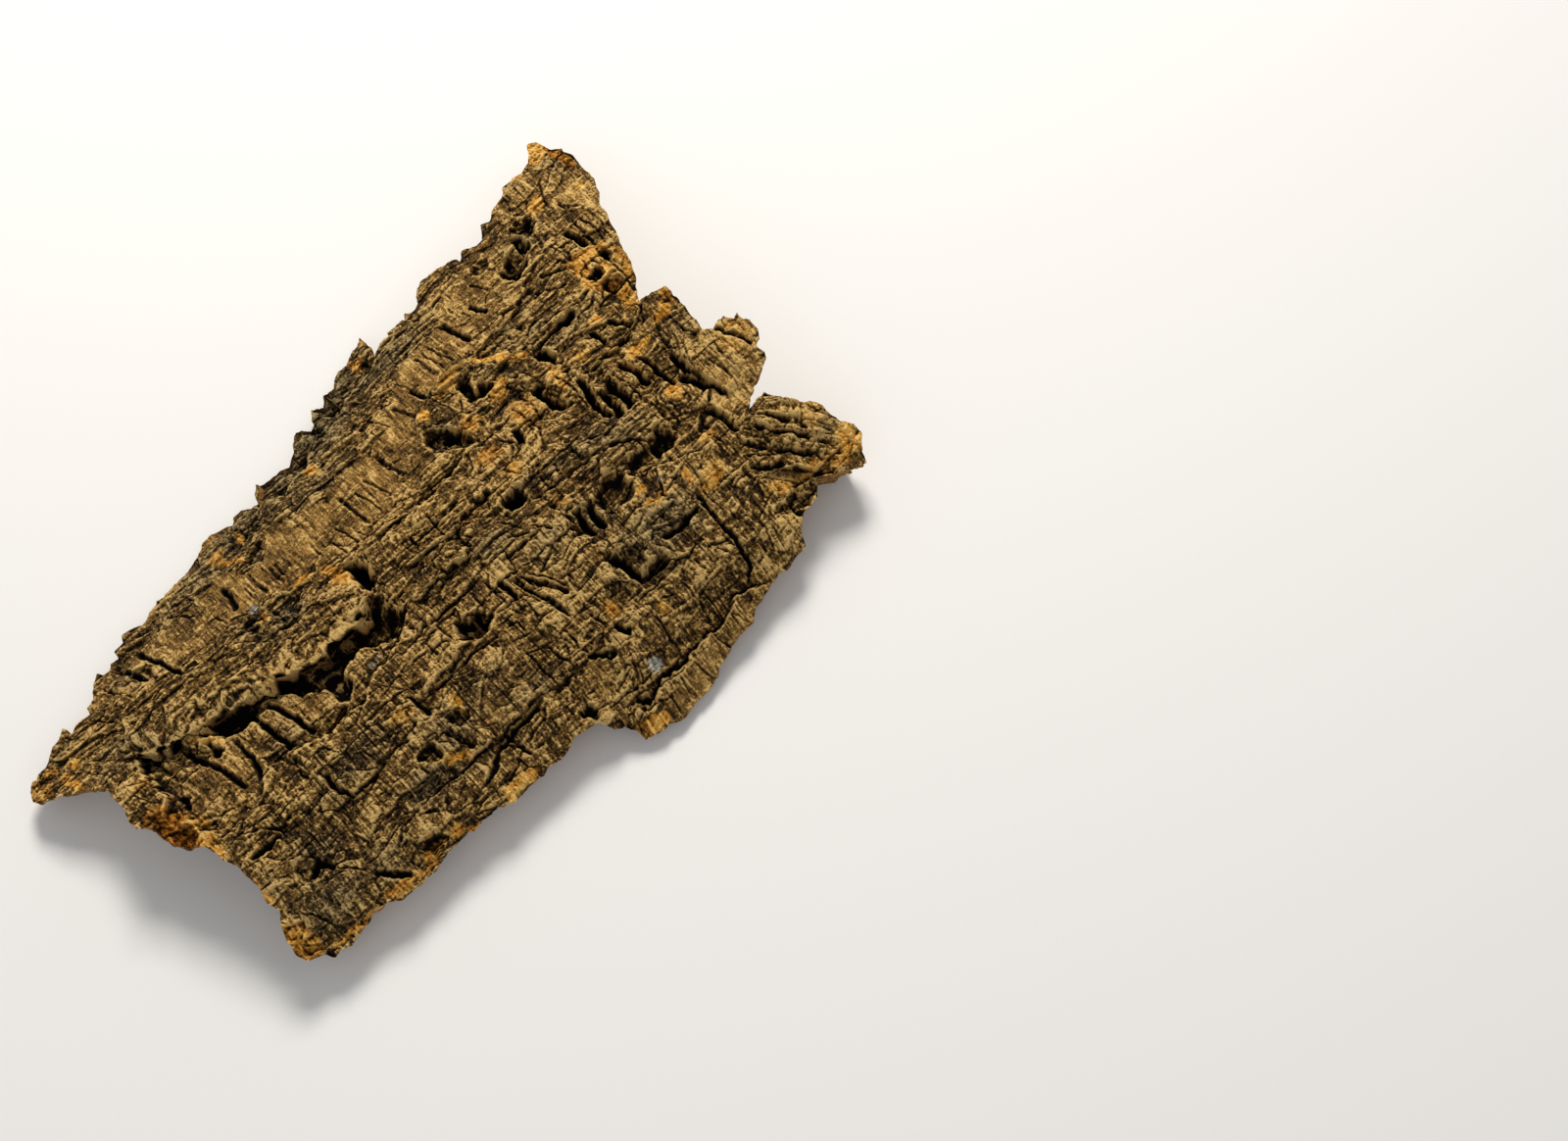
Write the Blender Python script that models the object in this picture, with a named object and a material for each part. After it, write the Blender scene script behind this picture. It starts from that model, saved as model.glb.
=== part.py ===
"""A slab of cork bark: an arched piece peeled off the trunk, rough crust outside, smooth hollow inside.

The grain runs along X, the arch stands open downward and rests on four small flats at Z = 0.
Lengths are written in millimetres and turned into metres when the mesh is made.
"""

import bpy
import bmesh
import numpy as np
from mathutils import Matrix

MM = 0.001
NODE = "cork_bark_slab"

# The arch of the outer skin: where its long edges run, how high they stand and how high the crest.
EDGE_LOW = -130.0
EDGE_HIGH = 93.0
EDGE_HIGH_SLOPE = 0.28
SKIN_AT_EDGE = 20.0
SKIN_RISE = 34.0
SKIN_RISE_SLOPE = 0.04
SKIN_POWER = 2.2

# The arch of the inner face, the way the broken rim leans in under the skin, and the clearance.
BELLY_RISE = 25.0
BELLY_INSET = 19.0
RIM_LEAN = 9.0
CLEARANCE = 1.4

# Four small flats that the slab stands on: centre and radius.
FEET = ((-138, -113, 6), (128, -114, 6), (-118, 56, 6), (150, 104, 6))

# Fineness of the work: relief map, block grid before thinning, and triangles kept.
MAP_STEP = 0.7
BLOCK_STEP = 2.4
RIM_RINGS = 4
RIM_STEP = 5.0
KEPT_TRIANGLES = 11200

# The broken outline seen along Z, from the left spur round the far edge, the right end and the near edge.
FAR_EDGE = (
    (-222, 37), (-221, 44), (-215, 46), (-205, 51), (-194, 57), (-188, 60), (-185, 55), (-181, 57),
    (-173, 56), (-171, 60), (-166, 61), (-161, 70), (-157, 72), (-155, 69), (-151, 69), (-149, 72),
    (-144, 71), (-143, 75), (-136, 76), (-134, 80), (-122, 78), (-111, 80), (-110, 83), (-105, 81),
    (-103, 83), (-89, 83), (-85, 86), (-77, 88), (-71, 92), (-62, 92), (-56, 90), (-53, 87),
    (-50, 92), (-45, 92), (-41, 87), (-37, 86), (-36, 91), (-31, 98), (-27, 95), (-20, 93),
    (-15, 94), (-11, 92), (-7, 97), (-3, 99), (-1, 103), (5, 107), (8, 105), (10, 100), (13, 101),
    (17, 110), (19, 113), (22, 110), (24, 107), (31, 115), (37, 114), (40, 118), (45, 121),
    (49, 120), (56, 124), (63, 125), (65, 128), (66, 121), (64, 113), (63, 109), (70, 112),
    (75, 110), (77, 114), (86, 114), (87, 112), (89, 115), (92, 113), (99, 115), (101, 119),
    (106, 124), (109, 127), (112, 126), (116, 125), (119, 126), (121, 123), (130, 120), (131, 117),
    (136, 121), (138, 122), (144, 117), (149, 118), (153, 124), (155, 126), (160, 125), (165, 129),
    (173, 131), (179, 137), (187, 138), (191, 135), (199, 138), (201, 141), (206, 147), (208, 151),
)
RIGHT_END = (
    (211, 144), (212, 134), (216, 129), (216, 120), (212, 102), (209, 90), (203, 80), (198, 64),
    (194, 52), (190, 41), (184, 30), (179, 23), (176, 18), (184, 18), (188, 17), (192, 16),
    (193, 12), (192, 4), (193, 0), (192, -9), (190, -15), (193, -19), (199, -19), (202, -18),
    (206, -22), (210, -21), (212, -29), (211, -36), (209, -40), (205, -42), (206, -46), (200, -51),
    (193, -54), (185, -59), (178, -64), (188, -62), (192, -62), (197, -68), (203, -75), (208, -79),
    (212, -86), (214, -96), (219, -102), (219, -107), (215, -113), (211, -119), (203, -117),
    (192, -112), (185, -109), (179, -115), (170, -117), (162, -123), (158, -129), (150, -131),
    (138, -132),
)
NEAR_EDGE = (
    (130, -133), (122, -134), (116, -136), (110, -140), (101, -141), (93, -143), (82, -145),
    (78, -148), (64, -150), (56, -152), (50, -153), (43, -150), (40, -151), (29, -149), (27, -143),
    (25, -136), (19, -135), (13, -128), (0, -127), (-9, -129), (-24, -129), (-35, -130),
    (-43, -130), (-50, -128), (-62, -126), (-65, -128), (-72, -127), (-90, -129), (-106, -130),
    (-118, -130), (-125, -125), (-140, -128), (-152, -129), (-160, -129), (-163, -125), (-170, -123),
)
LEFT_END = (
    (-174, -117), (-172, -108), (-166, -97), (-168, -91), (-166, -83), (-167, -75), (-166, -69),
    (-171, -60), (-170, -56), (-173, -50), (-180, -42), (-184, -33), (-186, -26), (-191, -21),
    (-191, -14), (-190, -5), (-190, 12), (-195, 14), (-201, 22), (-207, 23), (-211, 27), (-219, 31),
)
OUTLINE = FAR_EDGE + RIGHT_END + NEAR_EDGE + LEFT_END

# Steps where one layer of crust stands over the next: rise on the left of the line, drop on its
# right, how far each fades out, how far the lip leans over, and the line.
STEPS = (
    (5, 0, 22, 8, 7, ((-178, 21), (-168, 15), (-158, 10), (-148, 8), (-137, 4), (-122, 1), (-108, -1),
        (-96, -3), (-84, -7), (-78, -11), (-68, -14), (-58, -11), (-44, -11), (-34, -9), (-25, -9))),
    (0, 11, 10, 26, 0, ((70, 109), (60, 106), (45, 103), (33, 99), (22, 93), (8, 92), (-1, 88),
        (-7, 81), (-22, 80), (-37, 83), (-43, 90))),
    (4, 8, 12, 18, 4, ((136, -131), (110, -127), (92, -131), (72, -133), (56, -133), (42, -136),
        (40, -131), (24, -134))),
    (5, 3, 34, 6, 0, ((66, 20), (50, 16), (30, 11), (12, 12), (-10, 12), (-26, 13))),
    (3, 3, 9, 7, 1, ((-12, -12), (6, -11), (20, -14), (38, -8), (50, -9))),
    (4, 3, 10, 8, 1, ((-20, -28), (4, -27), (22, -27), (24, -22))),
    (3, 2, 12, 8, 1, ((-48, -68), (-30, -64), (-14, -60), (4, -59))),
    (3, 3, 14, 8, 2, ((100, 60), (92, 57), (80, 60), (68, 58), (58, 54), (50, 50), (44, 42))),
    (3, 2, 10, 8, 1, ((-88, 12), (-76, 10), (-62, 11), (-52, 6), (-40, 3))),
    (3, 2, 12, 8, 1, ((60, 62), (100, 59), (128, 63), (146, 74), (160, 80))),
    (4, 3, 10, 10, 2, ((165, -92), (176, -98), (186, -103), (198, -108))),
    (3, 3, 12, 10, 2, ((150, -56), (162, -46), (170, -62), (166, -70))),
    (4, 2, 14, 10, 1, ((176, -18), (171, -28), (174, -42), (178, -52))),
    (4, 3, 12, 10, 1, ((128, 2), (140, 9), (158, 10), (172, 12), (180, 17))),
    (3, 4, 10, 10, 2, ((60, -80), (76, -88), (90, -94), (112, -96))),
    (3, 2, 12, 8, 1, ((-160, -52), (-142, -51), (-130, -52))),
    (2, 2, 12, 8, 1, ((-60, -103), (-30, -102), (0, -101), (30, -101), (70, -101))),
)

# Blocks that lie lower than the crust around them: how much lower, and the ring round them.
SUNKEN = (
    (8, ((-168, 14), (-150, 7), (-137, 4), (-122, 1), (-108, -1), (-96, -3), (-84, -7), (-68, -14),
        (-58, -11), (-44, -11), (-28, -9), (-24, -16), (-25, -28), (-36, -33), (-45, -38), (-60, -43),
        (-70, -46), (-92, -48), (-108, -42), (-130, -42), (-134, -50), (-160, -51), (-170, -40),
        (-167, -20), (-172, 2))),
)

# Grooves and cracks: width, depth and the line.
GROOVES = (
    (2.6, 9, ((-113, -12), (-112, -24), (-109, -40))),
    (2.4, 8, ((-104, -10), (-100, -26), (-95, -42))),
    (3.0, 7, ((-138, -6), (-138, -16), (-134, -14))),
    (2.2, 5, ((-150, 0), (-146, -12), (-141, -26), (-138, -42))),
    (2.0, 5, ((-128, -12), (-127, -30), (-131, -44))),
    (2.6, 7, ((-92, -47), (-82, -44), (-75, -40))),
    (3.0, 9, ((-24, -6), (-24, 6), (-25, 14))),
    (2.2, 5, ((-82, 58), (-82, 48), (-84, 38))),
    (2.0, 5, ((-135, 68), (-131, 52), (-127, 36), (-124, 28))),
    (2.2, 5, ((-146, 62), (-142, 52), (-139, 44))),
    (2.2, 5, ((97, 92), (98, 78), (101, 66))),
    (1.8, 3, ((46, 71), (50, 60), (53, 52))),
    (1.8, 4, ((60, 72), (61, 62), (63, 56))),
    (1.8, 3, ((74, 88), (75, 70), (75, 66))),
    (1.8, 3, ((22, 54), (23, 42), (26, 30))),
    (1.8, 3, ((-7, 52), (-6, 36), (-4, 22))),
    (1.8, 3, ((-68, 52), (-67, 40), (-65, 32))),
    (1.8, 3, ((-57, 46), (-57, 36), (-56, 30))),
    (3.2, 13, ((178, 82), (180, 74), (180, 64))),
    (3.0, 11, ((110, 0), (106, 8), (104, 18), (109, 22))),
    (2.6, 9, ((82, 10), (81, 4), (80, 0))),
    (3.0, 11, ((124, 8), (122, -8), (122, -20))),
    (3.6, 12, ((130, -4), (128, -16), (127, -23))),
    (3.6, 12, ((134, -2), (135, -14), (135, -23))),
    (3.0, 12, ((145, 1), (148, -10), (150, -20))),
    (2.4, 8, ((154, -3), (157, -14), (160, -30))),
    (2.4, 8, ((168, -12), (169, -24), (173, -38), (176, -50))),
    (3.6, 12, ((163, -26), (168, -32), (171, -42))),
    (3.0, 9, ((163, -46), (167, -56), (168, -68))),
    (2.8, 10, ((77, -42), (76, -50), (76, -60))),
    (2.8, 9, ((84, -44), (82, -52), (83, -61))),
    (4.2, 12, ((70, -70), (77, -78), (79, -90), (90, -90), (99, -89))),
    (2.2, 7, ((100, -84), (114, -84), (126, -84))),
    (2.6, 8, ((130, -74), (129, -90), (131, -104), (128, -122), (120, -126))),
    (2.4, 6, ((37, -5), (44, -8), (50, -8))),
    (2.0, 5, ((114, 88), (116, 80), (118, 74))),
    (2.2, 6, ((22, -46), (24, -56), (22, -60))),
    (2.0, 5, ((28, -48), (34, -66), (40, -84))),
    (1.8, 4, ((33, -52), (40, -64), (46, -74))),
    (2.4, 6, ((33, -100), (38, -106), (44, -110))),
    (2.6, 7, ((50, -98), (56, -106), (59, -104))),
    (2.0, 5, ((-48, -84), (-44, -94), (-42, -100))),
    (2.0, 5, ((-106, -62), (-106, -74), (-102, -80))),
    (1.8, 4, ((-52, -60), (-48, -68), (-47, -76))),
    (2.2, 6, ((-120, -112), (-112, -120), (-104, -126))),
    (1.8, 4, ((-26, -102), (-24, -112), (-21, -120))),
    (2.0, 5, ((-50, -118), (-34, -108), (-16, -106), (0, -104))),
    (2.2, 6, ((-160, -70), (-150, -71), (-141, -70))),
    (2.2, 6, ((-144, -96), (-136, -90), (-132, -100))),
    (2.8, 8, ((182, -70), (190, -80), (199, -90))),
    (2.0, 5, ((172, -68), (182, -80), (194, -92), (204, -102))),
    (2.0, 5, ((163, -70), (174, -82), (186, -96), (200, -108))),
    (2.4, 7, ((160, -84), (168, -90), (178, -94))),
    (2.2, 5, ((195, -20), (200, -30), (204, -40))),
    (2.0, 5, ((158, 22), (162, 14), (165, 10))),
    (2.2, 7, ((148, 24), (148, 18), (149, 13))),
    (2.2, 5, ((150, 70), (158, 66), (164, 62))),
    (2.2, 5, ((113, 36), (130, 38), (150, 40))),
)

# Holes and broken-out hollows: centre, half length, half width, turn in degrees, depth.
HOLES = (
    (-122, -6, 16, 6, -20, 18), (-88, -11, 10, 7, -45, 18), (-66, -19, 17, 6, 0, 20),
    (-71, -28, 5, 9, 0, 15), (-38, -19, 12, 10, -20, 16), (-27, 5, 4, 10, 0, 14),
    (-66, 20, 8, 7, 0, 5), (-80, 24, 6, 5, 0, 5), (-1, -55, 8, 6, -10, 12),
    (56, -19, 6, 4, -10, 11), (80, 46, 7, 4, 60, 9), (86, 39, 6, 4, 0, 13), (52, 35, 6, 8, 30, 9),
    (58, 28, 8, 4, -60, 8), (121, 29, 4, 5, 20, 12), (145, 39, 5, 3, 30, 7), (171, 49, 4, 3, 0, 8),
    (174, 37, 6, 5, 0, 7), (183, 55, 3, 4, 0, 6), (76, -52, 8, 11, 0, 6), (98, -48, 8, 9, 0, 10),
    (120, -47, 10, 6, 0, 8), (134, -46, 7, 5, 0, 11), (78, -80, 8, 9, -30, 7),
    (147, 87, 8, 6, 30, 9), (143, 84, 4, 5, 0, 7), (157, 94, 4, 6, 0, 9), (167, 103, 6, 7, 0, 9),
    (136, 104, 5, 5, 0, 5), (-181, -33, 9, 13, 20, 9), (-170, -23, 5, 6, -30, 8),
    (-140, 50, 5, 8, 15, 6), (-57, 58, 5, 5, 0, 4), (-88, -120, 6, 4, 0, 5), (41, -134, 5, 4, 0, 7),
    (15, -122, 4, 4, 0, 7), (-140, -92, 8, 6, 0, 4), (108, 12, 5, 9, 0, 5), (170, -112, 12, 5, 0, 6),
    (-160, -127, 4, 3, 0, 5), (-38, -84, 4, 5, 20, 5), (-60, -88, 6, 4, -30, 6),
)

# Lumps, plates and tongues: centre, half length, half width, turn in degrees, height.
LUMPS = (
    (-141, -2, 10, 5, -50, 8), (-60, -30, 5, 12, -35, 5), (-48, -28, 8, 8, -20, 4),
    (-104, -28, 20, 12, -10, 3), (-146, -30, 14, 14, 0, 2), (-86, -24, 6, 18, 35, 2),
    (-120, 16, 22, 8, -12, 3), (-95, 12, 12, 6, -20, 3), (-60, 3, 22, 6, 0, 4),
    (-8, 3, 14, 6, 0, 3), (22, 4, 16, 6, 0, 3), (10, -18, 11, 7, 0, 4), (34, -30, 14, 8, -10, 3),
    (-6, -33, 24, 6, 0, 2), (70, 8, 16, 9, -20, 3), (90, -20, 30, 6, 0, 3), (110, -32, 24, 7, -8, 3),
    (28, -18, 6, 5, 0, 3), (92, 10, 9, 9, 0, 3), (116, 8, 5, 14, 10, 3), (127, 10, 4, 16, 5, 3),
    (141, -8, 4, 14, 10, 4), (155, -12, 4, 14, 8, 3), (155, -32, 9, 7, -20, 5),
    (-33, -72, 12, 9, -25, 3), (-40, -62, 30, 4, 8, 2), (56, -62, 10, 8, 0, 3),
    (150, -108, 18, 18, 0, 4), (192, -82, 22, 12, -48, 6), (196, -34, 18, 16, 0, 4),
    (172, 4, 18, 9, 10, 3), (188, 122, 22, 10, 20, 2), (78, 58, 18, 4, 0, 4), (102, 48, 12, 5, -30, 4),
    (88, 31, 8, 4, 30, 4), (67, 30, 6, 6, 0, 3), (-150, 52, 12, 9, -30, 2), (-70, 80, 18, 8, 0, 2),
    (5, 98, 6, 8, 0, 7), (19, 103, 5, 9, 10, 7), (-24, 88, 12, 5, 0, 4), (45, 113, 14, 6, 30, 5),
    (60, 120, 5, 7, 0, 4), (112, 118, 14, 8, 0, 2), (160, 96, 4, 9, 10, 5), (152, 92, 4, 9, 10, 5),
    (-140, -110, 20, 11, 0, 3), (-70, -66, 34, 9, -3, 2), (-100, -54, 20, 8, -8, 3),
    (-140, -60, 18, 8, 0, 3), (-148, -78, 16, 8, 0, 2), (0, -114, 20, 10, 5, 2),
    (-60, -112, 24, 8, 5, 2), (60, -112, 26, 12, 0, 2), (100, -106, 24, 10, 5, 3),
)


def lattice(i, j, seed):
    """A fixed value from 0 to 1 for every pair of whole numbers."""
    mixed = (i * 374761393 + j * 668265263 + seed * 974634777) & 0xFFFFFFFF
    mixed = ((mixed ^ (mixed >> 13)) * 1274126177) & 0xFFFFFFFF
    return ((mixed ^ (mixed >> 16)) & 0xFFFFFF) / 0xFFFFFF


def noise(x, y, seed):
    """Smooth noise from -1 to 1 with features about one unit long."""
    i, j = np.floor(x).astype(np.int64), np.floor(y).astype(np.int64)
    a, b = x - i, y - j
    a, b = a * a * (3 - 2 * a), b * b * (3 - 2 * b)
    low = lattice(i, j, seed) * (1 - a) + lattice(i + 1, j, seed) * a
    high = lattice(i, j + 1, seed) * (1 - a) + lattice(i + 1, j + 1, seed) * a
    return 2 * (low * (1 - b) + high * b) - 1


def rough(x, y, seed, octaves):
    """Several sizes of noise on top of each other."""
    total = np.zeros_like(x)
    for octave in range(octaves):
        total += noise(x * 2**octave + 7.3 * octave, y * 2**octave - 3.1 * octave, seed + octave) / 2**octave
    return total / 1.6


def cells(x, y, seed):
    """Cracked plates: how far a point is from the nearest crack, and a value kept over each plate."""
    i, j = np.floor(x).astype(np.int64), np.floor(y).astype(np.int64)
    first = np.full(x.shape, 9.0)
    second = np.full(x.shape, 9.0)
    value = np.zeros(x.shape)
    for di in (-1, 0, 1):
        for dj in (-1, 0, 1):
            px = i + di + 0.15 + 0.7 * lattice(i + di, j + dj, seed)
            py = j + dj + 0.15 + 0.7 * lattice(i + di, j + dj, seed + 1)
            far = np.hypot(x - px, y - py)
            nearer = far < first
            second = np.where(nearer, first, np.minimum(second, far))
            value = np.where(nearer, lattice(i + di, j + dj, seed + 2), value)
            first = np.where(nearer, far, first)
    return second - first, value


def along(u, v, line):
    """Distance from a line, which side of it (left is positive), and a taper that is 0 at its ends."""
    points = np.array(line, float)
    runs = np.hypot(*(points[1:] - points[:-1]).T)
    starts = np.concatenate(([0.0], np.cumsum(runs)))
    best = np.full(u.shape, 1e9)
    side = np.ones(u.shape)
    place = np.zeros(u.shape)
    for (au, av), (bu, bv), run, start in zip(points, points[1:], runs, starts):
        tu, tv = (bu - au) / run, (bv - av) / run
        reach = np.clip((u - au) * tu + (v - av) * tv, 0, run)
        du, dv = u - au - reach * tu, v - av - reach * tv
        far = np.hypot(du, dv)
        nearer = far < best
        best = np.where(nearer, far, best)
        side = np.where(nearer, np.sign(tu * dv - tv * du), side)
        place = np.where(nearer, (start + reach) / starts[-1], place)
    taper = np.clip(np.minimum(place, 1 - place) * 7, 0, 1)
    return best, side, taper * taper * (3 - 2 * taper)


def inside(u, v, ring):
    """1 inside a ring of points, 0 outside, with a short ramp between."""
    crossed = np.zeros(u.shape, bool)
    for (au, av), (bu, bv) in zip(ring, ring[1:] + ring[:1]):
        spans = (av > v) != (bv > v)
        crossed ^= spans & (u < au + (bu - au) * (v - av) / (bv - av if bv != av else 1))
    far = along(u, v, ring + ring[:1])[0]
    return np.clip(0.5 + np.where(crossed, far, -far) / 2.5, 0, 1)


def blob(u, v, centre_u, centre_v, half_u, half_v, turn, hardness):
    """A round patch that is 1 in the middle and 0 outside; a high hardness gives it steep sides."""
    c, s = np.cos(np.radians(turn)), np.sin(np.radians(turn))
    a = ((u - centre_u) * c + (v - centre_v) * s) / half_u
    b = ((v - centre_v) * c - (u - centre_u) * s) / half_v
    return np.exp(-((a * a + b * b) ** hardness) * 0.9)


def skin(u, v):
    """Height of the smooth arch that the crust sits on, and the place across it from -1 to 1."""
    high = EDGE_HIGH + EDGE_HIGH_SLOPE * u
    across = (v - (high + EDGE_LOW) / 2) / ((high - EDGE_LOW) / 2)
    rise = SKIN_RISE + SKIN_RISE_SLOPE * u
    return SKIN_AT_EDGE + rise * (1 - np.abs(np.clip(across, -1.15, 1.15)) ** SKIN_POWER)


def belly(u, v):
    """Height of the inner face, with the four flats at zero."""
    high = EDGE_HIGH + EDGE_HIGH_SLOPE * u - BELLY_INSET
    low = EDGE_LOW + BELLY_INSET
    across = (v - (high + low) / 2) / ((high - low) / 2)
    height = np.maximum(BELLY_RISE * (1 - across**2), 0)
    height = height + CLEARANCE + 0.9 * (1 + rough(u / 40, v / 16, 71, 3))
    for foot_u, foot_v, radius in FEET:
        far = np.hypot(u - foot_u, v - foot_v)
        height = height * np.clip((far - radius) / 16, 0, 1)
    return height


def ledge_zone(u, v):
    """1 along the middle ridge, where the layers lie in ledges along the grain, 0 elsewhere."""
    lower = np.interp(u, (-200, -170, -138, -100, -68, -28, -22, 40, 100, 150, 180),
                      (22, 14, 4, -2, -14, -10, -30, -42, -42, -36, -20))
    return np.clip((v - lower) / 5, 0, 1) * np.clip((168 - u) / 12, 0, 1)


def smooth_band(u, v):
    """1 on the smooth tan band along the far side, fading at its ends and at the torn far edge."""
    lower = np.interp(u, (-190, -150, -110, -85, -60, -30, 0, 40, 52, 60, 100, 120, 150, 175),
                      (44, 36, 34, 32, 26, 20, 20, 22, 46, 60, 61, 68, 86, 130))
    far = along(u, v, FAR_EDGE)[0] + 5 * noise(u / 9, v / 9, 7)
    ends = np.interp(u, (-185, -130, -85, 80, 130, 160), (0.15, 0.5, 1, 1, 0.6, 0.1))
    return np.clip((v - lower) / 6, 0, 1) * np.clip((far - 5) / 7, 0, 1) * ends


def relief(u, v):
    """Height of the crust over the smooth arch, and the sideways lean of the overhanging lips."""
    warp_u = u + 5 * noise(u / 19, v / 15, 3)
    warp_v = v + 4 * noise(u / 23, v / 13, 5)
    calm = smooth_band(u, v)
    strip = blob(u, v, 84, -143, 64, 9, 9, 3)
    ridged = ledge_zone(u, v) * (1 - calm) * (1 - strip)
    crust = 1 - 0.8 * np.maximum(calm, strip)

    height = 2.6 * crust * rough(warp_u / 52, warp_v / 15, 11, 3)
    bend = np.interp(u, (-220, -150, -100, -60, 0, 150, 220), (30, 12, 3, 0, 0, 0, 10))
    layer = (warp_v - bend * np.clip((v + 40) / 20, 0, 1)) / 13 + 1.1 * rough(u / 70, v / 34, 17, 2)
    layer = layer - np.floor(layer)
    strong = (0.35 + 0.65 * ridged) * (0.65 + 0.35 * noise(u / 60, v / 40, 19))
    height += crust * strong * 3.0 * (np.minimum(layer / 0.14, (1 - layer) / 0.86) - 0.5)
    seam, level = cells(warp_u / 24, warp_v / 8, 21)
    height += crust * (2.2 * (level - 0.5) - 1.2 * np.exp(-seam * 12))
    seam, level = cells(warp_u / 9, warp_v / 5, 31)
    height += crust * (0.9 * (level - 0.5) - 0.4 * np.exp(-seam * 9))
    height += 0.7 * noise(warp_u / 4.2, warp_v / 26, 41)

    lean_u = np.zeros_like(u)
    lean_v = np.zeros_like(u)
    wavy_u = u + 2.6 * noise(u / 9, v / 8, 51) + 1.2 * noise(u / 4, v / 3, 52)
    wavy_v = v + 2.2 * noise(u / 9, v / 7, 53) + 1.0 * noise(u / 4, v / 3, 54)
    for rise, drop, rise_reach, drop_reach, lip, line in STEPS:
        far, side, taper = along(wavy_u, wavy_v, line)
        signed = far * side
        upper = np.clip(0.5 + signed / 2.4, 0, 1)
        height += taper * upper * rise * np.exp(-np.maximum(signed, 0) / rise_reach)
        height -= taper * (1 - upper) * drop * np.exp(-np.maximum(-signed, 0) / drop_reach)
        if lip:
            push = lip * taper * np.clip(0.5 + signed / 2.4, 0, 1) * np.exp(-((signed / 5) ** 2))
            (au, av), (bu, bv) = line[0], line[-1]
            run = np.hypot(bu - au, bv - av)
            lean_u += push * (bv - av) / run
            lean_v -= push * (bu - au) / run
    for depth, ring in SUNKEN:
        height -= depth * inside(wavy_u, wavy_v, ring)
    for width, depth, line in GROOVES:
        far, side, taper = along(wavy_u, wavy_v, line)
        height -= depth * taper * np.exp(-((far / width) ** 2))
    for cu, cv, half_u, half_v, turn, depth in HOLES:
        height -= depth * blob(wavy_u, wavy_v, cu, cv, half_u, half_v, turn, 2.2)
    for cu, cv, half_u, half_v, turn, rise in LUMPS:
        height += rise * blob(wavy_u, wavy_v, cu, cv, half_u, half_v, turn, 1.8)
    return height, lean_u, lean_v


def read_map(field, low_u, low_v, u, v):
    """Value of a map between its points."""
    x = np.clip((u - low_u) / MAP_STEP, 0, field.shape[1] - 1.001)
    y = np.clip((v - low_v) / MAP_STEP, 0, field.shape[0] - 1.001)
    i, j = x.astype(int), y.astype(int)
    a, b = x - i, y - j
    low = field[j, i] * (1 - a) + field[j, i + 1] * a
    high = field[j + 1, i] * (1 - a) + field[j + 1, i + 1] * a
    return low * (1 - b) + high * b


def collection(name):
    made = bpy.data.collections.new(name)
    bpy.context.scene.collection.children.link(made)
    return made


def bark_material():
    material = bpy.data.materials.new("cork_bark")
    material.use_nodes = True
    shader = material.node_tree.nodes["Principled BSDF"]
    shader.inputs["Base Color"].default_value = (0.19, 0.12, 0.06, 1)
    shader.inputs["Roughness"].default_value = 0.9
    return material


def block(name, home):
    """A flat block with a fine grid on its top and bottom, one unit high, over the whole slab."""
    us, vs = np.array(OUTLINE).T
    wide, deep = us.max() - us.min() + 8, vs.max() - vs.min() + 8
    mesh = bpy.data.meshes.new(name)
    bm = bmesh.new()
    bmesh.ops.create_grid(bm, x_segments=round(wide / BLOCK_STEP), y_segments=round(deep / BLOCK_STEP), size=0.5)
    bmesh.ops.scale(bm, vec=(wide, deep, 1), verts=bm.verts)
    bmesh.ops.translate(bm, vec=((us.max() + us.min()) / 2, (vs.max() + vs.min()) / 2, 1), verts=bm.verts)
    grown = bmesh.ops.extrude_face_region(bm, geom=list(bm.faces))["geom"]
    lower = [item for item in grown if isinstance(item, bmesh.types.BMVert)]
    bmesh.ops.translate(bm, vec=(0, 0, -1), verts=lower)
    bmesh.ops.recalc_face_normals(bm, faces=bm.faces)
    bm.to_mesh(mesh)
    bm.free()
    made = bpy.data.objects.new(name, mesh)
    home.objects.link(made)
    return made


def torn(points):
    """The outline with its longer runs broken up by small teeth."""
    ring = []
    for (au, av), (bu, bv) in zip(points, points[1:] + points[:1]):
        pieces = max(1, round(np.hypot(bu - au, bv - av) / RIM_STEP))
        for share in np.arange(pieces) / pieces:
            u, v = np.array([au + (bu - au) * share, av + (bv - av) * share])
            tooth = 1.1 * noise(u / 3, v / 3, 81) * min(share * pieces, 1)
            ring.append((u + tooth, v + tooth))
    return ring


def outline_cutter(home):
    """The broken outline as an upright prism, a little lower and higher than the block."""
    mesh = bpy.data.meshes.new("outline_cutter")
    bm = bmesh.new()
    base = bm.faces.new([bm.verts.new((u, v, -0.5)) for u, v in torn(OUTLINE)])
    grown = bmesh.ops.extrude_face_region(bm, geom=[base])["geom"]
    raised = [item for item in grown if isinstance(item, bmesh.types.BMVert)]
    bmesh.ops.translate(bm, vec=(0, 0, 2), verts=raised)
    bmesh.ops.recalc_face_normals(bm, faces=bm.faces)
    bm.to_mesh(mesh)
    bm.free()
    made = bpy.data.objects.new("outline_cutter", mesh)
    home.objects.link(made)
    made.hide_render = True
    made.display_type = "WIRE"
    return made


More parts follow.
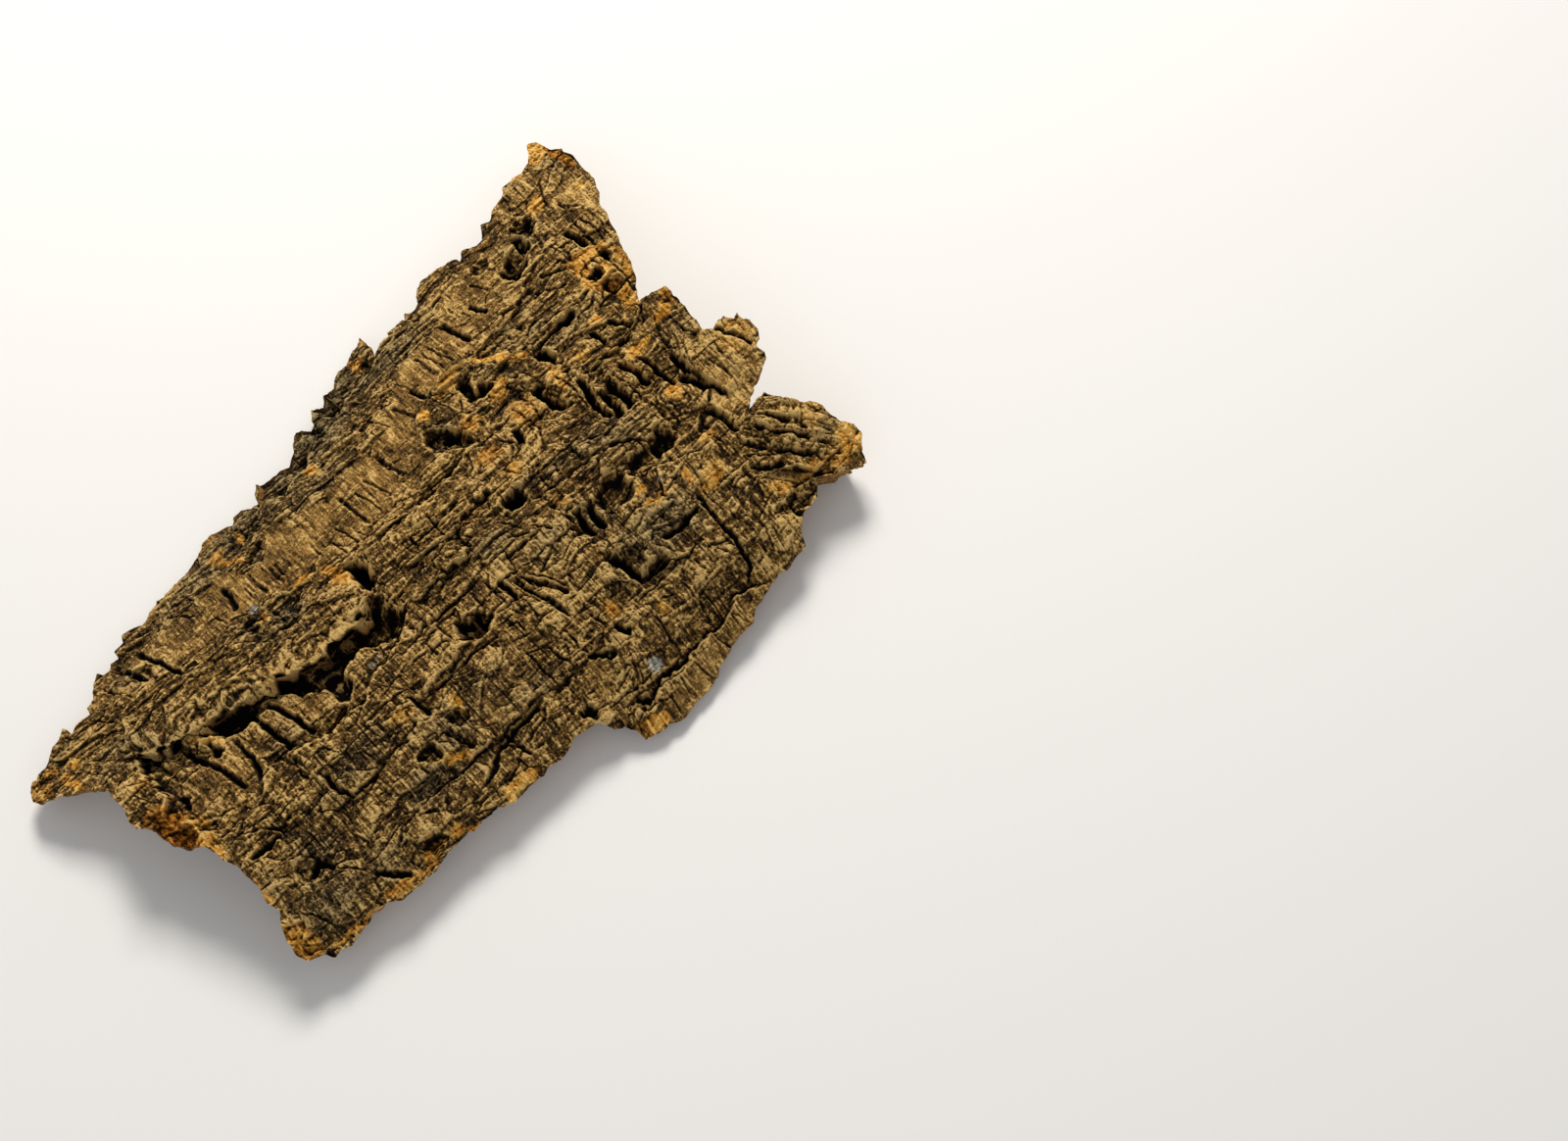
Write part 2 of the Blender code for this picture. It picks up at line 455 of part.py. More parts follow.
def shape_slab(mesh):
    """Turns the flat block into the arched slab: each point goes between inner face and crust."""
    us, vs = np.array(OUTLINE).T
    low_u, low_v = us.min() - 6, vs.min() - 6
    grid_u, grid_v = np.meshgrid(np.arange(low_u, us.max() + 6, MAP_STEP), np.arange(low_v, vs.max() + 6, MAP_STEP))
    crust, lean_u, lean_v = relief(grid_u, grid_v)

    bm = bmesh.new()
    bm.from_mesh(mesh)
    for height in np.arange(1, RIM_RINGS + 1) / (RIM_RINGS + 1):
        everything = bm.verts[:] + bm.edges[:] + bm.faces[:]
        bmesh.ops.bisect_plane(bm, geom=everything, plane_co=(0, 0, height), plane_no=(0, 0, 1))
    bmesh.ops.recalc_face_normals(bm, faces=bm.faces)
    bm.normal_update()
    place = np.array([vert.co for vert in bm.verts])
    out = np.array([vert.normal for vert in bm.verts])
    out[:, 2] = 0
    size = np.hypot(out[:, 0], out[:, 1])
    on_rim = size > 0.3
    out[on_rim] /= size[on_rim, None]
    out[~on_rim] = 0
    u, v, part = place[:, 0], place[:, 1], np.clip(place[:, 2], 0, 1)

    # Near the outline the crust thins back to the arch, so that the silhouette keeps its line.
    top = skin(u, v) + read_map(crust, low_u, low_v, u, v) * np.where(on_rim & (part > 0.99), 0.5, 1)
    bottom = belly(u, v)
    top = np.maximum(top, bottom + 4)
    layers = 6.0 * rough(u / 11, v / 9 + part * 4, 61, 2) * np.sin(np.pi * part)
    lean = -RIM_LEAN * (1 - part) ** 0.8 + layers
    x = u + out[:, 0] * lean + part**2 * read_map(lean_u, low_u, low_v, u, v)
    y = v + out[:, 1] * lean + part**2 * read_map(lean_v, low_u, low_v, u, v)
    z = bottom + part * (top - bottom)
    for vert, px, py, pz in zip(bm.verts, x, y, z):
        vert.co = (px * MM, py * MM, pz * MM)
    bmesh.ops.triangulate(bm, faces=bm.faces)
    bm.to_mesh(mesh)
    bm.free()


def apply_modifiers(thing):
    """Keeps the mesh that the modifiers give."""
    graph = bpy.context.evaluated_depsgraph_get()
    done = bpy.data.meshes.new_from_object(thing.evaluated_get(graph))
    thing.modifiers.clear()
    thing.data = done


for old in list(bpy.data.objects):
    bpy.data.objects.remove(old)

slab_home = collection("cork_bark")
cutters = collection("cutters")
cutters.hide_render = True

slab = block(NODE, slab_home)
cut = slab.modifiers.new("outline", "BOOLEAN")
cut.operation = "INTERSECT"
cut.solver = "MANIFOLD"
cut.object = outline_cutter(cutters)
apply_modifiers(slab)
shape_slab(slab.data)

thin = slab.modifiers.new("thin", "DECIMATE")
thin.ratio = KEPT_TRIANGLES / len(slab.data.polygons)
apply_modifiers(slab)

# The flats come back to exactly zero after the thinning.
for vertex in slab.data.vertices:
    if vertex.co.z < 0.25 * MM:
        vertex.co.z = 0

# The origin is under the middle of the slab's box.
corners = np.array([vertex.co for vertex in slab.data.vertices])
middle = (corners.max(axis=0) + corners.min(axis=0)) / 2
slab.data.transform(Matrix.Translation((-middle[0], -middle[1], 0)))
slab.data.materials.clear()
slab.data.materials.append(bark_material())
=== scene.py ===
import math

import bpy
import bmesh
import numpy as np
from mathutils import Matrix, Vector


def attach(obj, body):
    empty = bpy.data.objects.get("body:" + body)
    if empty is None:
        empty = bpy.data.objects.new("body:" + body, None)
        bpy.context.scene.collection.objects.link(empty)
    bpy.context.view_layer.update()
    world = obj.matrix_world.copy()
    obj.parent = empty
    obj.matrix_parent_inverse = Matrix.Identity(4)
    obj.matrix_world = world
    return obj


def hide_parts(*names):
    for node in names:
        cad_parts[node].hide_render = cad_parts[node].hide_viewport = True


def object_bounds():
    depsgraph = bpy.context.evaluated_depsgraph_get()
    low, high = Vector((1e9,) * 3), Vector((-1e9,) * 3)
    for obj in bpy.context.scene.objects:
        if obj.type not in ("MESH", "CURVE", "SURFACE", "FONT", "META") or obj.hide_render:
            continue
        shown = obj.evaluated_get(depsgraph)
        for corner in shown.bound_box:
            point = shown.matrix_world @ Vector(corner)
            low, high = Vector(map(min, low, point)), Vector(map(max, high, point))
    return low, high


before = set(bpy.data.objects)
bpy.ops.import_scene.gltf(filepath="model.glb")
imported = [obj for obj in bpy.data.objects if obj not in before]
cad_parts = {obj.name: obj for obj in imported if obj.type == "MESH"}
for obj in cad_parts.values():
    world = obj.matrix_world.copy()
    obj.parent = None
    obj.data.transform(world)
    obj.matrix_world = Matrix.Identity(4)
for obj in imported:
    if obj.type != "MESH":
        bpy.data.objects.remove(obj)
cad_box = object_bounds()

# The camera. The slab is photographed from above and a little in front, with its grain running
# from the lower left to the upper right of the picture, and it lies in the left part of the view.
MM = 0.001
SHIFT_X = 1.459
SHIFT_Y = 1.431
GRAIN_TURN = math.radians(43)
CAMERA_RISE = math.radians(70)
CAMERA_PLACE = (-157.835 + SHIFT_X, -451.517 + SHIFT_Y, 1220.854)

right = Vector((math.cos(GRAIN_TURN), -math.sin(GRAIN_TURN), 0))
ahead = Vector((math.sin(GRAIN_TURN), math.cos(GRAIN_TURN), 0))
look = ahead * math.cos(CAMERA_RISE) - Vector((0, 0, math.sin(CAMERA_RISE)))
camera_data = bpy.data.cameras.new("camera")
camera_data.lens = 56.25
camera_data.sensor_width = 36
camera_data.clip_end = 20
camera = bpy.data.objects.new("camera", camera_data)
bpy.context.scene.collection.objects.link(camera)
turn = Matrix((right, right.cross(look), -look)).transposed().to_4x4()
camera.matrix_world = Matrix.Translation(Vector(CAMERA_PLACE) * MM) @ turn
bpy.context.scene.camera = camera

# The floor. A plain sheet of white paper that fades into a white room, lit by two soft boxes:
# a strong one high on the far side, which draws the layers of crust, and a weak one in front.
def linear(hex_colour, alpha=1.0):
    parts = [int(hex_colour[i : i + 2], 16) / 255 for i in (1, 3, 5)]
    return tuple(p / 12.92 if p <= 0.04045 else ((p + 0.055) / 1.055) ** 2.4 for p in parts) + (alpha,)


def feed(tree, value, socket):
    """Joins a socket to another, or sets it to a value."""
    if isinstance(value, bpy.types.NodeSocket):
        tree.links.new(value, socket)
    else:
        socket.default_value = value


def node(tree, kind, links=None, **settings):
    """Adds a node: links maps its inputs to sockets or values, settings are its own properties."""
    made = tree.nodes.new(kind)
    for name, value in settings.items():
        setattr(made, name, value)
    for name, value in (links or {}).items():
        feed(tree, value, made.inputs[name])
    return made


bpy.ops.object.select_all(action="DESELECT")
bpy.ops.mesh.primitive_grid_add(x_subdivisions=8, y_subdivisions=8, size=6, location=(0, 0, 0))
floor = bpy.context.active_object
floor.name = "floor"
paper = bpy.data.materials.new("white_paper")
paper.use_nodes = True
tree = paper.node_tree
paper_place = node(tree, "ShaderNodeTexCoord")
fibres = node(tree, "ShaderNodeTexNoise",
              {"Vector": paper_place.outputs["Object"], "Scale": 900.0, "Detail": 3.0})
shade = node(tree, "ShaderNodeMix", {"Factor": fibres.outputs["Fac"], "A": linear("#F4F4F2"),
                                     "B": linear("#F8F8F7")}, data_type="RGBA")
paper_shader = tree.nodes["Principled BSDF"]
tree.links.new(shade.outputs["Result"], paper_shader.inputs["Base Color"])
paper_shader.inputs["Roughness"].default_value = 0.95
paper_shader.inputs["Specular IOR Level"].default_value = 0.1
floor.data.materials.append(paper)


def soft_box(name, place, width, power, colour):
    data = bpy.data.lights.new(name, "AREA")
    data.size = width
    data.energy = power
    data.color = linear(colour)[:3]
    lamp = bpy.data.objects.new(name, data)
    bpy.context.scene.collection.objects.link(lamp)
    lamp.location = place
    lamp.rotation_euler = (-Vector(place)).to_track_quat("-Z", "Y").to_euler()


soft_box("key_light", (0.95, 1.10, 1.60), 0.7, 40, "#FFF9F0")
soft_box("front_light", (-1.1, -1.0, 1.5), 1.8, 5, "#F6F9FF")
room = bpy.data.worlds.new("white_room")
bpy.context.scene.world = room
room.use_nodes = True
room.node_tree.nodes["Background"].inputs["Color"].default_value = linear("#FFFFFF")
room.node_tree.nodes["Background"].inputs["Strength"].default_value = 0.33
bpy.context.scene.view_settings.view_transform = "Standard"
bpy.context.scene.view_settings.look = "None"

# The slab. One piece of virgin cork bark, prised off the trunk: an arch of cork some 20 mm thick,
# its outside built up of yearly layers that split into plates, ridges and long fissures, its rim
# torn. The outline and the main forms are those of the solid; the finer crust is added on them.
EDGE_LOW = -130.0
EDGE_HIGH = 93.0
EDGE_HIGH_SLOPE = 0.28
SKIN_AT_EDGE = 20.0
SKIN_RISE = 34.0
SKIN_RISE_SLOPE = 0.04
SKIN_POWER = 2.2
BELLY_RISE = 25.0
BELLY_INSET = 19.0
CLEARANCE = 1.4
MIN_THICKNESS = 4.0
# Flats that the slab stands on: centre, radius and how far the inner face fades up from them.
FEET = ((-138, -113, 6), (128, -114, 6), (-118, 56, 6), (150, 104, 6))
FOOT_FADE = 16
# How far the torn rim leans in at its foot, and how far the inner face draws in with it.
RIM_LEAN = 9.0
DRAW_IN = 16.0
RIM_RINGS = 13
RIM_STEP = 1.2
MAP_STEP = 0.4
TOP_STEP = 0.5
BELLY_STEP = 3.0
# Length along the grain and width across it of the crust's plates, from large to small.
PLATE = (24, 8)
SMALL_PLATE = (9, 5)
CHUNK = (6.5, 4.2)
SCALE = (4.6, 2.8)
CHIP = (2.8, 2.0)
# Width of the yearly layers where they crop out, of the ledges on the ridge, and their height.
LAYER_WIDTH = 13
LEDGE_WIDTH = 4.6
LEDGE_HEIGHT = 2.6

FAR_EDGE = (
    (-222, 37), (-221, 44), (-215, 46), (-205, 51), (-194, 57), (-188, 60), (-185, 55), (-181, 57),
    (-173, 56), (-171, 60), (-166, 61), (-161, 70), (-157, 72), (-155, 69), (-151, 69), (-149, 72),
    (-144, 71), (-143, 75), (-136, 76), (-134, 80), (-122, 78), (-111, 80), (-110, 83), (-105, 81),
    (-103, 83), (-89, 83), (-85, 86), (-77, 88), (-71, 92), (-62, 92), (-56, 90), (-53, 87),
    (-50, 92), (-45, 92), (-41, 87), (-37, 86), (-36, 91), (-31, 98), (-27, 95), (-20, 93),
    (-15, 94), (-11, 92), (-7, 97), (-3, 99), (-1, 103), (5, 107), (8, 105), (10, 100), (13, 101),
    (17, 110), (19, 113), (22, 110), (24, 107), (31, 115), (37, 114), (40, 118), (45, 121),
    (49, 120), (56, 124), (63, 125), (65, 128), (66, 121), (64, 113), (63, 109), (70, 112),
    (75, 110), (77, 114), (86, 114), (87, 112), (89, 115), (92, 113), (99, 115), (101, 119),
    (106, 124), (109, 127), (112, 126), (116, 125), (119, 126), (121, 123), (130, 120), (131, 117),
    (136, 121), (138, 122), (144, 117), (149, 118), (153, 124), (155, 126), (160, 125), (165, 129),
    (173, 131), (179, 137), (187, 138), (191, 135), (199, 138), (201, 141), (206, 147), (208, 151),
)
RIGHT_END = (
    (211, 144), (212, 134), (216, 129), (216, 120), (212, 102), (209, 90), (203, 80), (198, 64),
    (194, 52), (190, 41), (184, 30), (179, 23), (176, 18), (184, 18), (188, 17), (192, 16),
    (193, 12), (192, 4), (193, 0), (192, -9), (190, -15), (193, -19), (199, -19), (202, -18),
    (206, -22), (210, -21), (212, -29), (211, -36), (209, -40), (205, -42), (206, -46), (200, -51),
    (193, -54), (185, -59), (178, -64), (188, -62), (192, -62), (197, -68), (203, -75), (208, -79),
    (212, -86), (214, -96), (219, -102), (219, -107), (215, -113), (211, -119), (203, -117),
    (192, -112), (185, -109), (179, -115), (170, -117), (162, -123), (158, -129), (150, -131),
    (138, -132),
)
NEAR_EDGE = (
    (130, -133), (122, -134), (116, -136), (110, -140), (101, -141), (93, -143), (82, -145),
    (78, -148), (64, -150), (56, -152), (50, -153), (43, -150), (40, -151), (29, -149), (27, -143),
    (25, -136), (19, -135), (13, -128), (0, -127), (-9, -129), (-24, -129), (-35, -130),
    (-43, -130), (-50, -128), (-62, -126), (-65, -128), (-72, -127), (-90, -129), (-106, -130),
    (-118, -130), (-125, -125), (-140, -128), (-152, -129), (-160, -129), (-163, -125), (-170, -123),
)
LEFT_END = (
    (-174, -117), (-172, -108), (-166, -97), (-168, -91), (-166, -83), (-167, -75), (-166, -69),
    (-171, -60), (-170, -56), (-173, -50), (-180, -42), (-184, -33), (-186, -26), (-191, -21),
    (-191, -14), (-190, -5), (-190, 12), (-195, 14), (-201, 22), (-207, 23), (-211, 27), (-219, 31),
)
OUTLINE = FAR_EDGE + RIGHT_END + NEAR_EDGE + LEFT_END

# Steps where one layer of crust stands over the next: rise on the left of the line, drop on its
# right, how far each fades out, how far the lip leans over, and the line.
STEPS = (
    (5, 9, 22, 9, 7, ((-178, 21), (-168, 15), (-158, 10), (-148, 8), (-137, 4), (-122, 1), (-108, -1),
        (-96, -3), (-84, -7), (-78, -11), (-68, -14), (-58, -11), (-44, -11), (-34, -9), (-25, -9))),
    (0, 11, 10, 26, 0, ((70, 109), (60, 106), (45, 103), (33, 99), (22, 93), (8, 92), (-1, 88),
        (-7, 81), (-22, 80), (-37, 83), (-43, 90))),
    (3, 6, 12, 8, 0, ((136, -131), (110, -127), (92, -131), (72, -133), (56, -133), (42, -136),
        (40, -131), (24, -134))),
    (5, 3, 34, 6, 0, ((66, 20), (50, 16), (30, 11), (12, 12), (-10, 12), (-26, 13))),
    (3, 3, 9, 7, 1, ((-12, -12), (6, -11), (20, -14), (38, -8), (50, -9))),
    (4, 3, 10, 8, 1, ((-20, -28), (4, -27), (22, -27), (24, -22))),
    (3, 2, 12, 8, 1, ((-48, -68), (-30, -64), (-14, -60), (4, -59))),
    (3, 3, 14, 8, 2, ((100, 60), (92, 57), (80, 60), (68, 58), (58, 54), (50, 50), (44, 42))),
    (3, 2, 10, 8, 1, ((-88, 12), (-76, 10), (-62, 11), (-52, 6), (-40, 3))),
    (3, 2, 12, 8, 1, ((60, 62), (100, 59), (128, 63), (146, 74), (160, 80))),
    (4, 3, 10, 10, 2, ((165, -92), (176, -98), (186, -103), (198, -108))),
    (3, 3, 12, 10, 2, ((150, -56), (162, -46), (170, -62), (166, -70))),
    (4, 2, 14, 10, 1, ((176, -18), (171, -28), (174, -42), (178, -52))),
    (4, 3, 12, 10, 1, ((128, 2), (140, 9), (158, 10), (172, 12), (180, 17))),
    (3, 4, 10, 10, 2, ((60, -80), (76, -88), (90, -94), (112, -96))),
    (3, 2, 12, 8, 1, ((-160, -52), (-142, -51), (-130, -52))),
    (2, 2, 12, 8, 1, ((-60, -103), (-30, -102), (0, -101), (30, -101), (70, -101))),
)

# Blocks that lie lower than the crust around them: how much lower, and the ring round them.
SUNKEN = (
    (8, ((-168, 14), (-150, 7), (-137, 4), (-122, 1), (-108, -1), (-96, -3), (-84, -7), (-68, -14),
        (-58, -11), (-44, -11), (-28, -9), (-24, -16), (-25, -28), (-36, -33), (-45, -38), (-60, -43),
        (-70, -46), (-92, -48), (-108, -42), (-130, -42), (-134, -50), (-160, -51), (-170, -40),
        (-167, -20), (-172, 2))),
)

# Grooves and cracks: width, depth and the line.
GROOVES = (
    (2.6, 9, ((-113, -12), (-112, -24), (-109, -40))),
    (2.4, 8, ((-104, -10), (-100, -26), (-95, -42))),
    (3.0, 7, ((-138, -6), (-138, -16), (-134, -14))),
    (2.2, 5, ((-150, 0), (-146, -12), (-141, -26), (-138, -42))),
    (2.0, 5, ((-128, -12), (-127, -30), (-131, -44))),
    (2.6, 7, ((-92, -47), (-82, -44), (-75, -40))),
    (3.0, 9, ((-24, -6), (-24, 6), (-25, 14))),
    (2.2, 5, ((-82, 58), (-82, 48), (-84, 38))),
    (2.0, 5, ((-135, 68), (-131, 52), (-127, 36), (-124, 28))),
    (2.2, 5, ((-146, 62), (-142, 52), (-139, 44))),
    (2.2, 5, ((97, 92), (98, 78), (101, 66))),
    (1.8, 3, ((46, 71), (50, 60), (53, 52))),
    (1.8, 4, ((60, 72), (61, 62), (63, 56))),
    (1.8, 3, ((74, 88), (75, 70), (75, 66))),
    (1.8, 3, ((22, 54), (23, 42), (26, 30))),
    (1.8, 3, ((-7, 52), (-6, 36), (-4, 22))),
    (1.8, 3, ((-68, 52), (-67, 40), (-65, 32))),
    (1.8, 3, ((-57, 46), (-57, 36), (-56, 30))),
    (3.2, 13, ((178, 82), (180, 74), (180, 64))),
    (3.0, 11, ((110, 0), (106, 8), (104, 18), (109, 22))),
    (2.6, 9, ((82, 10), (81, 4), (80, 0))),
    (3.0, 11, ((124, 8), (122, -8), (122, -20))),
    (3.6, 12, ((130, -4), (128, -16), (127, -23))),
    (3.6, 12, ((134, -2), (135, -14), (135, -23))),
    (3.0, 12, ((145, 1), (148, -10), (150, -20))),
    (2.4, 8, ((154, -3), (157, -14), (160, -30))),
    (2.4, 8, ((168, -12), (169, -24), (173, -38), (176, -50))),
    (3.6, 12, ((163, -26), (168, -32), (171, -42))),
    (3.0, 9, ((163, -46), (167, -56), (168, -68))),
    (2.8, 10, ((77, -42), (76, -50), (76, -60))),
    (2.8, 9, ((84, -44), (82, -52), (83, -61))),
    (4.2, 12, ((70, -70), (77, -78), (79, -90), (90, -90), (99, -89))),
    (2.2, 7, ((100, -84), (114, -84), (126, -84))),
    (1.6, 5, ((130, -74), (128, -90), (131, -104), (127, -120), (120, -126))),
    (2.4, 6, ((37, -5), (44, -8), (50, -8))),
    (2.0, 5, ((114, 88), (116, 80), (118, 74))),
    (2.2, 6, ((22, -46), (24, -56), (22, -60))),
    (2.0, 5, ((28, -48), (34, -66), (40, -84))),
    (1.8, 4, ((33, -52), (40, -64), (46, -74))),
    (2.4, 6, ((33, -100), (38, -106), (44, -110))),
    (2.6, 7, ((50, -98), (56, -106), (59, -104))),
    (2.0, 5, ((-48, -84), (-44, -94), (-42, -100))),
    (2.0, 5, ((-106, -62), (-106, -74), (-102, -80))),
    (1.8, 4, ((-52, -60), (-48, -68), (-47, -76))),
    (2.2, 6, ((-120, -112), (-112, -120), (-104, -126))),
    (1.8, 4, ((-26, -102), (-24, -112), (-21, -120))),
    (2.0, 5, ((-50, -118), (-34, -108), (-16, -106), (0, -104))),
    (2.2, 6, ((-160, -70), (-150, -71), (-141, -70))),
    (2.2, 6, ((-144, -96), (-136, -90), (-132, -100))),
    (1.7, 5, ((182, -70), (190, -80), (199, -90))),
    (1.3, 3, ((172, -68), (182, -80), (194, -92), (204, -102))),
    (1.3, 3, ((163, -70), (174, -82), (186, -96), (200, -108))),
    (2.0, 7, ((160, -84), (168, -90), (178, -94))),
    (2.2, 5, ((195, -20), (200, -30), (204, -40))),
    (2.0, 5, ((158, 22), (162, 14), (165, 10))),
    (2.2, 7, ((148, 24), (148, 18), (149, 13))),
    (2.2, 5, ((150, 70), (158, 66), (164, 62))),
    (2.2, 5, ((113, 36), (130, 38), (150, 40))),
)

